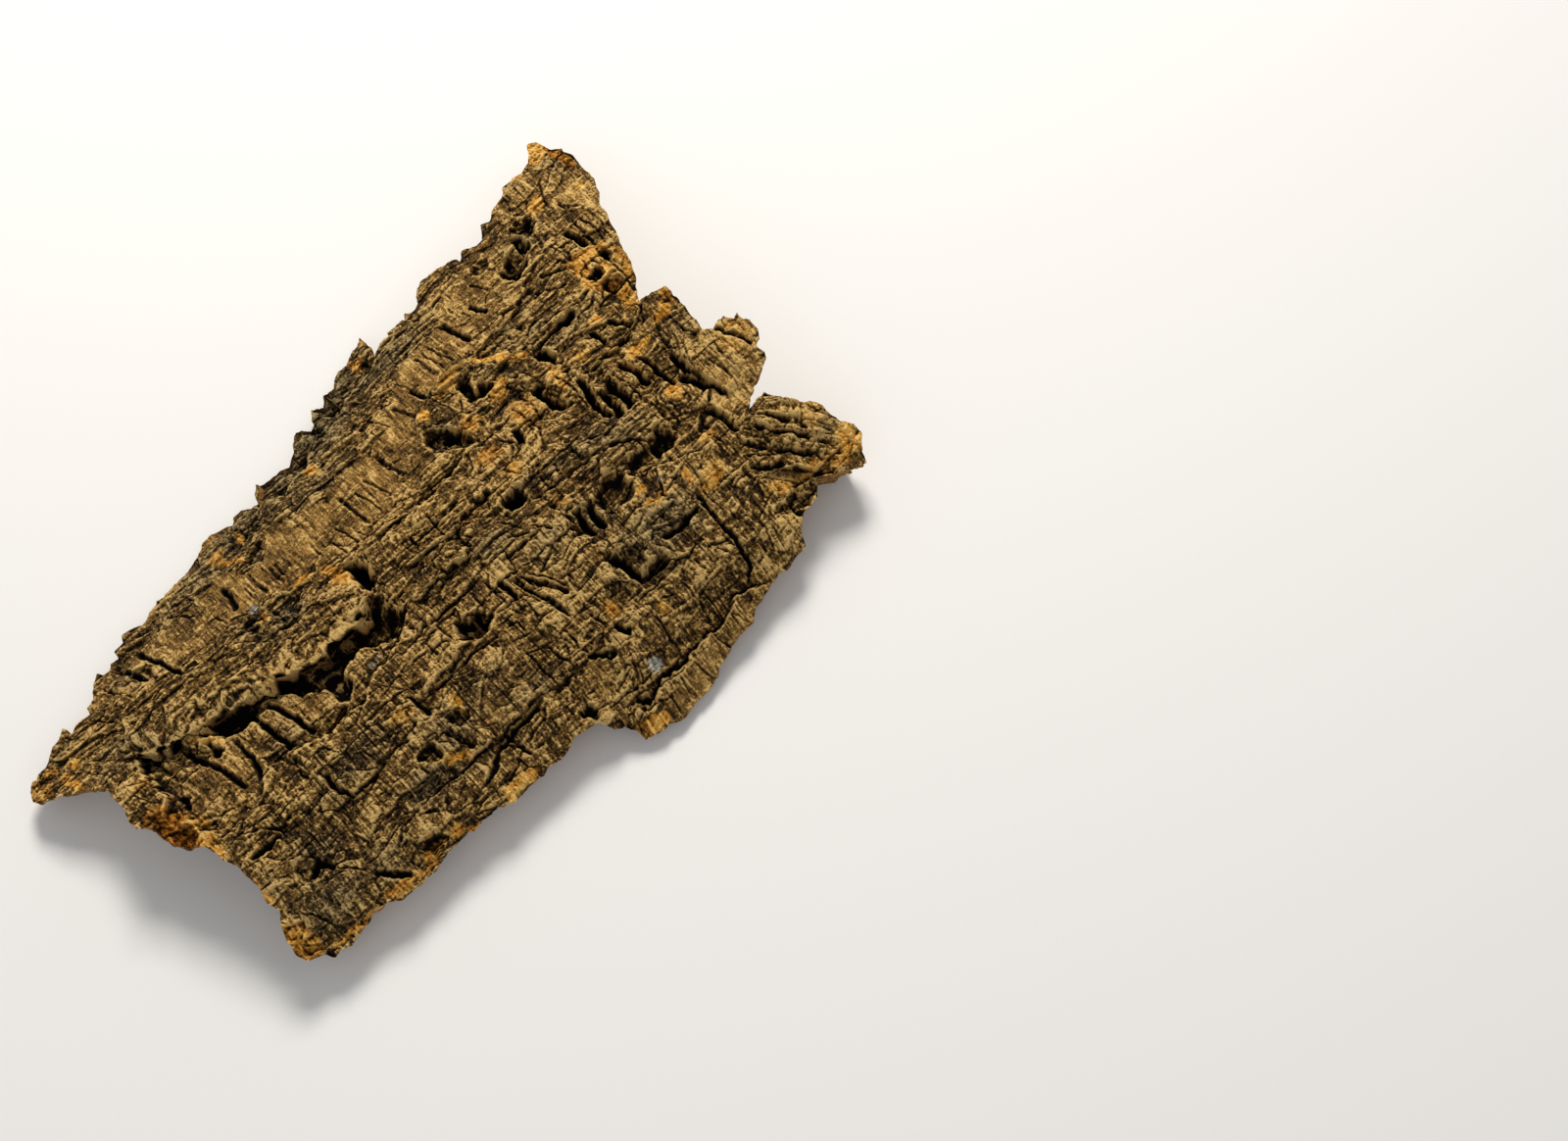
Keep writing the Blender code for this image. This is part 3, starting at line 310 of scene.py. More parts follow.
# Hair cracks too fine for the solid: width, depth and the line.
CRACKS = (
    (0.7, 2.2, ((-112, 70), (-107, 64), (-100, 55))),
    (0.8, 2.4, ((-94, 44), (-92, 38), (-91, 36))),
    (0.6, 1.8, ((-73, 46), (-73, 36))), (0.6, 1.8, ((-60, 50), (-59, 36), (-58, 30))),
    (0.7, 2.2, ((-54, 47), (-54, 34))), (0.6, 1.6, ((-33, 40), (-33, 26))),
    (0.6, 2.0, ((-25, 32), (-24, 24), (-23, 18))), (0.6, 1.8, ((-19, 38), (-17, 28), (-15, 20))),
    (0.7, 1.8, ((-12, 30), (-11, 20))), (0.7, 2.0, ((1, 48), (3, 36), (5, 22))),
    (0.6, 1.8, ((9, 50), (12, 36), (14, 26))), (0.6, 1.6, ((-47, 79), (-46, 70))),
    (0.8, 2.4, ((-53, 80), (-53, 72))), (0.8, 2.4, ((-49, 78), (-47, 71))),
    (0.6, 1.6, ((33, 78), (36, 66), (39, 60))), (0.6, 1.6, ((57, 82), (60, 74), (61, 64))),
    (0.7, 2.0, ((78, 88), (80, 74), (81, 66))), (0.6, 2.0, ((83, 88), (85, 74), (88, 64))),
    (0.6, 1.8, ((86, 82), (88, 70))), (0.8, 2.4, ((96, 90), (97, 82))),
    (0.6, 1.6, ((106, 96), (107, 84))), (0.6, 1.8, ((110, 88), (111, 80))),
    (0.7, 2.0, ((124, 100), (126, 92), (128, 86))), (0.7, 2.0, ((137, 100), (140, 94))),
    (0.9, 2.6, ((-190, 56), (-186, 50), (-184, 47))), (0.8, 2.0, ((-176, 52), (-170, 44), (-164, 36))),
    (0.7, 2.0, ((-160, 62), (-154, 50), (-150, 40))), (0.8, 2.2, ((-152, 34), (-140, 33), (-129, 34))),
    (0.8, 2.4, ((-125, 26), (-121, 23), (-118, 24))), (0.9, 2.8, ((-150, 68), (-147, 62))),
    (0.8, 2.6, ((-20, 13), (0, 12), (20, 12))), (0.8, 2.4, ((-10, -3), (8, -3), (22, -4), (36, 0))),
    (0.9, 3.0, ((-8, -11), (8, -11), (18, -12), (21, -16))),
    (0.8, 2.8, ((18, 3), (18, -12))), (0.7, 2.0, ((3, 1), (4, -10))),
    (0.9, 2.6, ((4, -20), (5, -27), (22, -27))), (0.9, 2.6, ((22, -14), (22, -26))),
    (0.7, 2.0, ((42, -22), (46, -30), (50, -34))), (0.7, 2.0, ((52, -34), (58, -40), (62, -46))),
    (0.8, 2.6, ((66, -17), (76, -17), (88, -17), (96, -18), (104, -17))),
    (0.8, 2.4, ((62, -27), (74, -28), (88, -28), (100, -30))), (0.8, 2.6, ((74, -18), (74, -27))),
    (0.8, 2.6, ((84, -18), (83, -27))), (0.7, 2.2, ((95, -18), (96, -26))),
    (0.7, 2.0, ((66, -22), (80, -22), (92, -23))), (0.7, 2.0, ((104, -22), (116, -26), (122, -24))),
    (0.8, 2.4, ((108, -30), (122, -36), (130, -40), (142, -38))), (0.7, 2.0, ((40, -32), (52, -39))),
    (0.7, 2.0, ((30, -41), (42, -41), (58, -40))), (0.9, 2.6, ((16, -41), (18, -52), (18, -60))),
    (0.7, 2.0, ((8, -42), (8, -58))), (0.7, 2.2, ((-6, -42), (-5, -50))),
    (0.8, 2.2, ((26, -46), (28, -58), (34, -72), (40, -86))), (0.7, 2.0, ((30, -44), (34, -56), (42, -70))),
    (0.7, 2.0, ((36, -50), (42, -60), (48, -72))), (0.8, 2.4, ((9, -58), (20, -59), (31, -60))),
    (0.7, 2.0, ((46, -66), (58, -68), (66, -66))), (0.8, 2.4, ((-40, -43), (-22, -40), (0, -40), (18, -40))),
    (0.7, 1.8, ((-30, -46), (-16, -43), (-2, -43))), (0.8, 2.2, ((-60, -53), (-44, -50), (-26, -50))),
    (0.7, 2.2, ((-15, -42), (-15, -54))), (0.7, 2.2, ((-26, -45), (-26, -55))),
    (0.7, 2.0, ((-46, -50), (-46, -60))), (0.8, 2.6, ((-40, -68), (-20, -66), (10, -66))),
    (0.7, 2.0, ((-28, -70), (-27, -76))), (0.7, 2.0, ((-80, -77), (-66, -75), (-52, -72))),
    (0.8, 2.4, ((10, -66), (16, -68), (16, -74))), (0.7, 2.0, ((-100, -78), (-88, -80), (-78, -78))),
    (0.7, 2.2, ((-160, -56), (-146, -62), (-138, -68), (-128, -66))),
    (0.7, 2.0, ((-141, -60), (-140, -74))), (0.7, 2.0, ((-150, -82), (-140, -84), (-128, -80))),
    (0.7, 2.2, ((-112, -46), (-114, -56), (-112, -60))), (0.8, 2.2, ((-116, -44), (-112, -52))),
    (0.9, 2.8, ((-58, -103), (-44, -103), (-20, -103), (0, -101))),
    (0.8, 2.4, ((20, -85), (21, -95), (24, -101))), (0.8, 2.2, ((31, -84), (32, -96), (34, -102))),
    (0.7, 2.0, ((41, -86), (42, -96))), (0.7, 2.2, ((10, -80), (9, -92), (12, -104))),
    (0.7, 2.0, ((46, -88), (50, -98))), (0.9, 2.6, ((68, -98), (80, -98), (90, -96))),
    (0.7, 2.0, ((72, -104), (72, -116), (70, -124))), (0.7, 2.0, ((94, -104), (96, -118), (93, -128))),
    (0.7, 2.0, ((20, -127), (32, -126), (46, -127), (60, -127))), (0.7, 2.0, ((106, -100), (108, -108))),
    (0.7, 2.0, ((-80, -104), (-66, -103), (-56, -104))), (0.8, 2.4, ((-104, -112), (-94, -106), (-80, -104))),
    (0.7, 2.2, ((-90, -100), (-84, -104))), (0.7, 2.0, ((-132, -100), (-120, -110))),
    (0.7, 2.2, ((-160, -104), (-154, -110), (-150, -120))), (0.6, 1.8, ((-44, -122), (-28, -118))),
    (0.7, 2.0, ((73, -134), (76, -148))), (0.7, 2.0, ((90, -132), (93, -143))),
    (0.6, 1.6, ((104, -130), (109, -139))), (0.6, 1.6, ((62, -136), (63, -150))),
    (0.6, 1.6, ((114, -132), (118, -130))), (0.7, 1.8, ((52, -138), (52, -150))),
    (0.7, 2.0, ((172, 60), (170, 50), (169, 42))), (0.7, 2.0, ((182, 52), (182, 36), (180, 26))),
    (0.8, 2.4, ((176, 58), (178, 50))), (0.8, 2.2, ((186, 86), (185, 70), (184, 60))),
    (0.6, 1.8, ((190, 84), (190, 66), (187, 56))), (0.6, 1.8, ((196, 82), (194, 66), (190, 52))),
    (0.7, 2.0, ((188, 100), (192, 92), (196, 88))), (0.7, 2.0, ((192, 122), (188, 112), (186, 104))),
    (0.7, 2.2, ((130, 44), (142, 45), (156, 41), (164, 42))), (0.7, 2.0, ((120, 48), (134, 52), (150, 50))),
    (0.7, 2.0, ((112, 62), (124, 66), (136, 64))), (0.7, 2.0, ((140, 66), (150, 58), (158, 54))),
    (0.8, 2.4, ((138, 24), (150, 20), (160, 22))), (0.7, 2.0, ((165, 40), (158, 36), (148, 35))),
    (0.8, 2.4, ((116, 20), (118, 8), (119, -8))), (0.8, 2.4, ((138, 0), (140, -14), (142, -22))),
    (0.8, 2.2, ((182, 2), (183, -8), (186, -16))), (0.7, 2.0, ((176, 4), (172, -4), (170, -12))),
    (0.7, 2.0, ((70, 12), (74, 6), (79, 2))), (0.7, 2.2, ((56, 6), (52, 2), (56, 0))),
    (0.7, 2.0, ((96, 24), (98, 12), (96, 4))), (0.7, 2.0, ((88, 22), (90, 10), (92, 0))),
    (0.6, 1.6, ((190, -24), (188, -36), (190, -46))), (0.6, 1.6, ((180, -22), (182, -34), (184, -46))),
    (0.8, 2.2, ((152, -52), (156, -60), (160, -70))), (0.7, 2.0, ((134, -56), (146, -62), (156, -62))),
    (0.8, 2.2, ((168, -66), (178, -76), (190, -88), (204, -98))),
    (0.8, 2.2, ((165, -76), (176, -86), (190, -98), (206, -110))),
    (0.7, 2.0, ((176, -66), (186, -74), (194, -82))), (0.8, 2.2, ((162, -78), (170, -84), (180, -90))),
    (0.7, 2.0, ((170, -104), (184, -107), (196, -112))), (0.7, 2.0, ((140, -98), (146, -110), (142, -124))),
    (0.7, 2.0, ((156, -80), (158, -92), (155, -104))), (0.7, 2.0, ((114, -100), (124, -104), (130, -103))),
)

# Holes and broken-out hollows: centre, half length, half width, turn in degrees, depth.
HOLES = (
    (-122, -6, 16, 6, -20, 18), (-88, -11, 10, 7, -45, 18), (-66, -19, 17, 6, 0, 20),
    (-71, -28, 5, 9, 0, 15), (-38, -19, 12, 10, -20, 16), (-27, 5, 4, 10, 0, 14),
    (-66, 20, 8, 7, 0, 5), (-80, 24, 6, 5, 0, 5), (-1, -55, 8, 6, -10, 12),
    (56, -19, 6, 4, -10, 11), (80, 46, 7, 4, 60, 9), (86, 39, 6, 4, 0, 13), (52, 35, 6, 8, 30, 9),
    (58, 28, 8, 4, -60, 8), (121, 29, 4, 5, 20, 12), (145, 39, 5, 3, 30, 7), (171, 49, 4, 3, 0, 8),
    (174, 37, 6, 5, 0, 7), (183, 55, 3, 4, 0, 6), (76, -52, 8, 11, 0, 6), (98, -48, 8, 9, 0, 10),
    (120, -47, 10, 6, 0, 8), (134, -46, 7, 5, 0, 11), (78, -80, 8, 9, -30, 7),
    (147, 87, 8, 6, 30, 9), (143, 84, 4, 5, 0, 7), (157, 94, 4, 6, 0, 9), (167, 103, 6, 7, 0, 9),
    (136, 104, 5, 5, 0, 5), (-181, -33, 9, 13, 20, 9), (-170, -23, 5, 6, -30, 8),
    (-140, 50, 5, 8, 15, 6), (-57, 58, 5, 5, 0, 4), (-88, -120, 6, 4, 0, 5), (41, -134, 5, 4, 0, 7),
    (15, -122, 4, 4, 0, 7), (-140, -92, 8, 6, 0, 4), (108, 12, 5, 9, 0, 5), (170, -112, 12, 5, 0, 6),
    (-160, -127, 4, 3, 0, 5), (-38, -84, 4, 5, 20, 5), (-60, -88, 6, 4, -30, 6),
)

# Lumps, plates and tongues: centre, half length, half width, turn in degrees, height.
LUMPS = (
    (-141, -2, 10, 5, -50, 8), (-60, -30, 5, 12, -35, 5), (-48, -28, 8, 8, -20, 4),
    (-104, -28, 20, 12, -10, 3), (-146, -30, 14, 14, 0, 2), (-86, -24, 6, 18, 35, 2),
    (-120, 16, 22, 8, -12, 3), (-95, 12, 12, 6, -20, 3), (-60, 3, 22, 6, 0, 4),
    (-8, 3, 14, 6, 0, 3), (22, 4, 16, 6, 0, 3), (10, -18, 11, 7, 0, 4), (34, -30, 14, 8, -10, 3),
    (-6, -33, 24, 6, 0, 2), (70, 8, 16, 9, -20, 3), (90, -20, 30, 6, 0, 3), (110, -32, 24, 7, -8, 3),
    (28, -18, 6, 5, 0, 3), (92, 10, 9, 9, 0, 3), (116, 8, 5, 14, 10, 3), (127, 10, 4, 16, 5, 3),
    (141, -8, 4, 14, 10, 4), (155, -12, 4, 14, 8, 3), (155, -32, 9, 7, -20, 5),
    (-33, -72, 12, 9, -25, 3), (-40, -62, 30, 4, 8, 2), (56, -62, 10, 8, 0, 3),
    (150, -108, 18, 18, 0, 4), (192, -82, 22, 12, -48, 6), (196, -34, 18, 16, 0, 4),
    (172, 4, 18, 9, 10, 3), (188, 122, 22, 10, 20, 2), (78, 58, 18, 4, 0, 4), (102, 48, 12, 5, -30, 4),
    (88, 31, 8, 4, 30, 4), (67, 30, 6, 6, 0, 3), (-150, 52, 12, 9, -30, 2), (-70, 80, 18, 8, 0, 2),
    (5, 98, 6, 8, 0, 7), (19, 103, 5, 9, 10, 7), (-24, 88, 12, 5, 0, 4), (45, 113, 14, 6, 30, 5),
    (60, 120, 5, 7, 0, 4), (112, 118, 14, 8, 0, 2), (160, 96, 4, 9, 10, 5), (152, 92, 4, 9, 10, 5),
    (-140, -110, 20, 11, 0, 3), (-70, -66, 34, 9, -3, 2), (-100, -54, 20, 8, -8, 3),
    (-140, -60, 18, 8, 0, 3), (-148, -78, 16, 8, 0, 2), (0, -114, 20, 10, 5, 2),
    (-60, -112, 24, 8, 5, 2), (60, -112, 26, 12, 0, 2), (100, -106, 24, 10, 5, 3),
)

# Places where the crust has broken away and the cork inside shows pale: centre, half length, half
# width, turn in degrees, strength, and how cream (0) or rusty (1) the fresh cork is.
FRESH = (
    (207, 143, 5, 9, -15, 1.0, 0.2), (204, 137, 6, 4, 0, 0.8, 0.2), (211, 131, 3, 7, 0, 0.9, 0.9),
    (212, 121, 2.5, 8, 0, 0.8, 0.9), (182, 110, 5, 5, 0, 0.7, 0.3), (188, 136, 3, 3, 0, 0.6, 0.5),
    (169, 57, 5, 7, -20, 1.0, 0.45), (177, 60, 9, 4, -10, 0.9, 0.4), (172, 45, 6, 6, 0, 1.0, 0.4),
    (166, 45, 4, 6, 0, 0.8, 0.5), (178, 44, 3, 8, 0, 0.9, 0.4), (175, 27, 3, 10, -15, 0.9, 0.4),
    (183, 58, 5, 6, 0, 0.5, 0.5), (173, 38, 7, 7, 0, 0.5, 1.0), (187, 42, 4, 12, -15, 0.35, 0.3),
    (153, 28, 4, 2.5, 35, 0.7, 0.3), (134, 16, 4, 2.5, -15, 0.9, 0.4), (111, 41, 5, 2.5, -30, 0.8, 0.4),
    (101, 49, 11, 2.6, -38, 0.9, 0.15), (82, 58, 12, 3, 0, 0.95, 0.15), (72, 55, 6, 3, 20, 0.6, 0.3),
    (54, 51, 4, 3, -20, 0.7, 0.1), (91, 33, 7, 4, 35, 0.95, 0.5), (68, 28, 6, 6, 0, 0.45, 0.6),
    (62, 6, 8, 5, 0, 0.4, 0.8), (66, -6, 4, 3, -30, 0.6, 0.5), (92, 13, 9, 9, 0, 0.35, 0.5),
    (117, 16, 4, 8, 0, 0.5, 0.3), (158, -1, 8, 2.6, 12, 0.9, 0.15), (183, 7, 9, 3, 18, 0.8, 0.5),
    (190, 13, 3, 5, 0, 0.6, 0.9), (155, -33, 5, 4, -35, 0.85, 0.3), (199, -30, 11, 12, 0, 0.22, 0.3),
    (75, -36, 3, 2, -20, 0.8, 0.5), (108, -57, 4, 1.5, 0, 0.8, 0.4), (112, -67, 9, 2, -6, 0.8, 0.4),
    (133, -68, 3, 5, 0, 0.7, 0.4), (153, -59, 5, 3, 0, 0.6, 0.5), (141, -76, 10, 5, 20, 0.35, 0.3),
    (57, -92, 3, 6, 0, 0.5, 0.4), (77, -108, 3, 4, 0, 0.4, 0.3), (-35, 14, 3.5, 9, 18, 0.8, 0.5),
    (-50, 24, 5, 2, 0, 0.5, 0.4), (-76, 24, 2, 3, 0, 0.8, 0.5), (-68, 66, 8, 2, -42, 0.7, 0.5),
    (-72, 76, 5, 5, 0, 0.4, 0.6), (-57, 76, 1.4, 5, 0, 0.6, 0.2), (-5, 77, 3, 4, 0, 0.5, 0.2),
    (54, 115, 4, 5, 0, 0.6, 0.6), (64, 124, 2, 4, 0, 0.5, 0.3), (204, 98, 1.5, 3, 15, 0.7, 0.1),
    (-137, -4, 4, 9, 32, 0.65, 0.1), (-194, 37, 3, 4, 0, 0.6, 0.3), (-201, 28, 2.6, 8, 22, 0.85, 0.2),
    (-206, 45, 4, 2, -35, 0.5, 0.2), (-216, 38, 8, 6, 0, 0.3, 0.4), (-178, -33, 10, 15, 22, 0.75, 1.0),
    (-167, -41, 4, 9, 10, 0.85, 0.4), (-185, -23, 4, 3, 0, 0.6, 0.6), (-176, -3, 4, 3, 0, 0.35, 0.7),
    (-168, -115, 8, 9, 0, 0.95, 0.45), (-171, -103, 3, 7, 0, 0.5, 0.5), (-166, -87, 2, 6, 0, 0.6, 0.6),
    (-170, -55, 2.5, 7, 0, 0.8, 0.4), (-114, -126, 8, 3, -12, 0.75, 0.8), (-146, -126, 13, 1.2, 0, 0.8, 0.4),
    (-93, -123, 4, 3, 0, 0.6, 0.4), (-75, -122, 5, 2.4, -15, 0.6, 0.3), (-67, -127, 4, 1.5, 0, 0.7, 0.6),
    (-41, -127, 5, 4, 0, 0.85, 0.3), (-31, -125, 6, 4, 0, 0.4, 0.3), (-100, -127, 9, 1.6, 0, 0.5, 0.8),
    (-88, -120, 5, 4, 0, 0.6, 1.2), (-57, -94, 6, 2, -28, 1.0, 0.35), (-49, -98, 6, 2, -30, 0.5, 0.3),
    (-60, -67, 8, 4, -20, 0.3, 0.3), (38, -145, 8, 4, -10, 0.7, 0.35), (0, -60, 6, 1.4, 5, 0.7, 0.5),
    (-35, -79, 4, 5, 0, 0.4, 0.1), (-5, -57, 5, 1.6, -45, 0.6, 0.3), (212, -105, 7, 6, 0, 0.7, 0.15),
    (194, -107, 15, 4, -15, 0.75, 0.4), (168, -101, 11, 3.5, -10, 0.4, 0.3), (203, -84, 10, 8, -40, 0.2, 0.3),
)

# Lobes and plates with the same smooth tan face as the band: centre, half length, half width, turn
# in degrees, and how smooth.
SMOOTH = (
    (180, -45, 17, 15, -20, 0.9), (200, -34, 9, 14, 0, 0.6), (198, 100, 9, 26, 12, 0.7),
    (84, -143, 52, 8, 9, 0.8), (-88, -26, 26, 12, -10, 0.5), (-140, -28, 22, 14, 0, 0.5),
    (206, -88, 8, 8, 0, 0.5), (30, -112, 10, 7, 0, 0.4), (-22, -94, 9, 6, 0, 0.4),
    (-10, -62, 9, 5, 0, 0.4),
)

# Spots of pale lichen: centre, radius and strength.
LICHEN = (
    (56, -125, 3.2, 1.0), (-77, 31, 2.2, 0.7), (-52, -34, 1.6, 0.5), (-47, -33, 1.4, 0.5),
    (120, -60, 1.2, 0.4),
)

# Places weathered dark and grey: centre, half length, half width, turn in degrees, strength.
WEATHERED = (
    (-68, 16, 12, 8, 0, 0.9), (-82, 26, 9, 6, 0, 0.8), (-58, 57, 6, 5, 0, 0.8), (-76, 66, 6, 4, 0, 0.6),
    (14, 82, 11, 6, 0, 0.5), (34, -30, 15, 8, -10, 0.6), (78, -20, 24, 4, 0, 0.7),
    (112, -26, 22, 8, -8, 0.6), (56, -48, 15, 8, 0, 0.5), (104, -78, 26, 14, 0, 0.75),
    (80, -52, 10, 10, 0, 0.5), (-90, -68, 24, 8, 0, 0.6), (-144, -110, 22, 11, 0, 0.7),
    (-70, -99, 16, 8, 0, 0.7), (-112, -112, 14, 10, 0, 0.5), (-45, -86, 13, 9, 0, 0.6),
    (-132, -88, 12, 10, 0, 0.7), (-20, -80, 16, 7, 0, 0.4), (30, 110, 34, 10, 20, 1.0),
    (-10, 92, 26, 8, 8, 1.0), (55, 36, 9, 9, 0, 0.5), (160, 98, 10, 9, 0, 0.5),
    (130, 48, 14, 4, 0, 0.6), (100, 40, 12, 7, -30, 0.5), (140, 34, 22, 6, 0, 0.4),
    (184, -4, 9, 10, 0, 0.4), (205, 124, 6, 9, 0, 0.5), (-196, 50, 8, 6, 0, 0.5),
    (-146, 58, 8, 10, 0, 0.5), (-168, 22, 16, 6, -25, 0.5), (205, -95, 6, 5, 0, 0.5),
    (-60, 78, 62, 11, 6, 0.75), (10, 94, 32, 14, 12, 1.0), (62, 100, 30, 10, 4, 0.8),
    (-8, 66, 22, 9, 0, 0.5), (-166, 13, 22, 7, -20, 0.6), (-108, -32, 10, 9, 0, 0.4),
    (-120, -4, 18, 8, -15, 0.6), (96, 52, 30, 5, -10, 0.4), (-160, -90, 6, 9, 0, 0.4),
    (0, -96, 16, 5, 0, 0.5), (-84, 12, 10, 4, -20, 0.5), (118, 56, 16, 4, 0, 0.4),
)

# Places bleached lighter than the rest: centre, half length, half width, turn in degrees, strength.
BLEACHED = (
    (24, -66, 40, 26, 10, 0.6), (-14, -52, 18, 16, 0, 0.6), (186, -38, 20, 26, -15, 1.0),
    (196, -84, 22, 18, -45, 1.0), (142, -62, 12, 14, 0, 0.7), (200, 92, 12, 44, 12, 0.8),
    (186, 122, 18, 16, 0, 0.7), (132, 76, 24, 8, 0, 0.5), (12, 14, 40, 13, 0, 0.6),
    (118, 2, 9, 12, 0, 0.7), (-158, -62, 14, 26, 0, 0.5), (108, -28, 16, 10, 0, 0.4),
    (8, -122, 22, 8, 0, 0.6), (60, -74, 10, 10, 0, 0.5), (-150, -10, 12, 12, 0, 0.4),
    (86, -8, 24, 8, 0, 0.5), (-44, -60, 20, 9, 0, 0.3), (142, 45, 20, 12, 0, 0.4),
    (92, 116, 8, 8, 0, 0.5), (-100, 52, 10, 8, 0, 0.4),
)


def lattice(i, j, seed):
    """A fixed value from 0 to 1 for every pair of whole numbers."""
    bits = (i * 374761393 + j * 668265263 + seed * 974634777) & 0xFFFFFFFF
    bits = ((bits ^ (bits >> 13)) * 1274126177) & 0xFFFFFFFF
    return ((bits ^ (bits >> 16)) & 0xFFFFFF) / 0xFFFFFF


def noise(x, y, seed):
    """Smooth noise from -1 to 1 with features about one unit long."""
    i, j = np.floor(x).astype(np.int64), np.floor(y).astype(np.int64)
    a, b = x - i, y - j
    a, b = a * a * (3 - 2 * a), b * b * (3 - 2 * b)
    low = lattice(i, j, seed) * (1 - a) + lattice(i + 1, j, seed) * a
    high = lattice(i, j + 1, seed) * (1 - a) + lattice(i + 1, j + 1, seed) * a
    return 2 * (low * (1 - b) + high * b) - 1


def rough(x, y, seed, octaves):
    """Several sizes of noise on top of each other."""
    total = np.zeros_like(x)
    for octave in range(octaves):
        total += noise(x * 2**octave + 7.3 * octave, y * 2**octave - 3.1 * octave, seed + octave) / 2**octave
    return total / 1.6


def cells(u, v, size, seed):
    """Cracked plates of a length and width: distance from the nearest crack, and a value for each plate."""
    x, y = u / size[0], v / size[1]
    i, j = np.floor(x).astype(np.int64), np.floor(y).astype(np.int64)
    first = np.full(x.shape, 9.0)
    second = np.full(x.shape, 9.0)
    value = np.zeros(x.shape)
    for di in (-1, 0, 1):
        for dj in (-1, 0, 1):
            px = i + di + 0.15 + 0.7 * lattice(i + di, j + dj, seed)
            py = j + dj + 0.15 + 0.7 * lattice(i + di, j + dj, seed + 1)
            far = np.hypot(x - px, y - py)
            nearer = far < first
            second = np.where(nearer, first, np.minimum(second, far))
            value = np.where(nearer, lattice(i + di, j + dj, seed + 2), value)
            first = np.where(nearer, far, first)
    return second - first, value


def along(u, v, line):
    """Distance from a line, which side of it (left is positive), and a taper that is 0 at its ends."""
    points = np.array(line, float)
    runs = np.hypot(*(points[1:] - points[:-1]).T)
    starts = np.concatenate(([0.0], np.cumsum(runs)))
    best = np.full(u.shape, 1e9)
    side = np.ones(u.shape)
    place = np.zeros(u.shape)
    for (au, av), (bu, bv), run, start in zip(points, points[1:], runs, starts):
        tu, tv = (bu - au) / run, (bv - av) / run
        reach = np.clip((u - au) * tu + (v - av) * tv, 0, run)
        du, dv = u - au - reach * tu, v - av - reach * tv
        far = np.hypot(du, dv)
        nearer = far < best
        best = np.where(nearer, far, best)
        side = np.where(nearer, np.sign(tu * dv - tv * du), side)
        place = np.where(nearer, (start + reach) / starts[-1], place)
    taper = np.clip(np.minimum(place, 1 - place) * 7, 0, 1)
    return best, side, taper * taper * (3 - 2 * taper)


def inside(u, v, ring):
    """1 inside a ring of points, 0 outside, with a short ramp between."""
    crossed = np.zeros(u.shape, bool)
    for (au, av), (bu, bv) in zip(ring, ring[1:] + ring[:1]):
        spans = (av > v) != (bv > v)
        crossed ^= spans & (u < au + (bu - au) * (v - av) / (bv - av if bv != av else 1))
    far = along(u, v, ring + ring[:1])[0]
    return np.clip(0.5 + np.where(crossed, far, -far) / 2.5, 0, 1)


def blob(u, v, centre_u, centre_v, half_u, half_v, turned, hardness):
    """A round patch that is 1 in the middle and 0 outside; a high hardness gives it steep sides."""
    c, s = np.cos(np.radians(turned)), np.sin(np.radians(turned))
    a = ((u - centre_u) * c + (v - centre_v) * s) / half_u
    b = ((v - centre_v) * c - (u - centre_u) * s) / half_v
    return np.exp(-((a * a + b * b) ** hardness) * 0.9)


def skin(u, v):
    """Height of the smooth arch that the crust sits on."""
    high = EDGE_HIGH + EDGE_HIGH_SLOPE * u
    across = (v - (high + EDGE_LOW) / 2) / ((high - EDGE_LOW) / 2)
    rise = SKIN_RISE + SKIN_RISE_SLOPE * u
    return SKIN_AT_EDGE + rise * (1 - np.abs(np.clip(across, -1.15, 1.15)) ** SKIN_POWER)


def belly(u, v):
    """Height of the inner face, with the four flats at zero."""
    high = EDGE_HIGH + EDGE_HIGH_SLOPE * u - BELLY_INSET
    low = EDGE_LOW + BELLY_INSET
    across = (v - (high + low) / 2) / ((high - low) / 2)
    height = np.maximum(BELLY_RISE * (1 - across**2), 0)
    height = height + CLEARANCE + 0.9 * (1 + rough(u / 40, v / 16, 71, 3))
    for foot_u, foot_v, radius in FEET:
        far = np.hypot(u - foot_u, v - foot_v)
        height = height * np.clip((far - radius) / FOOT_FADE, 0, 1)
    return height


def scarps(level, steep_share):
    """Saw teeth from -0.5 to 0.5, one a unit: a steep side over the given share, then a slow fall."""
    part = level - np.floor(level)
    return np.minimum(part / steep_share, (1 - part) / (1 - steep_share)) - 0.5


def ledge_zone(u, v):
    """1 along the middle crest, where the layers lie in ledges along the grain, 0 elsewhere."""
    lower = np.interp(u, (-200, -170, -138, -100, -68, -28, -22, 40, 100, 150, 180),
                      (22, 14, 4, -2, -14, -10, -30, -42, -42, -36, -20))
    return np.clip((v - lower) / 5, 0, 1) * np.clip((168 - u) / 12, 0, 1)


def smooth_band(u, v):
    """1 on the smooth tan band along the far side, fading at its ends and at the torn far edge."""
    lower = np.interp(u, (-190, -150, -110, -85, -60, -30, 0, 40, 52, 60, 100, 120, 150, 175),
                      (44, 36, 34, 32, 26, 20, 20, 22, 46, 60, 61, 68, 86, 130))
    upper = np.interp(u, (-190, -140, -100, -60, -40, -20, 0, 20, 40, 60, 80, 100, 130),
                      (60, 66, 66, 62, 68, 58, 56, 64, 70, 84, 88, 102, 120)) + 7 * noise(u / 11, v / 9, 7)
    ends = np.interp(u, (-185, -130, -85, 80, 130, 160), (0.15, 0.5, 1, 1, 0.6, 0.1))
    return np.clip((v - lower) / 6, 0, 1) * np.clip((upper - v) / 7, 0, 1) * ends


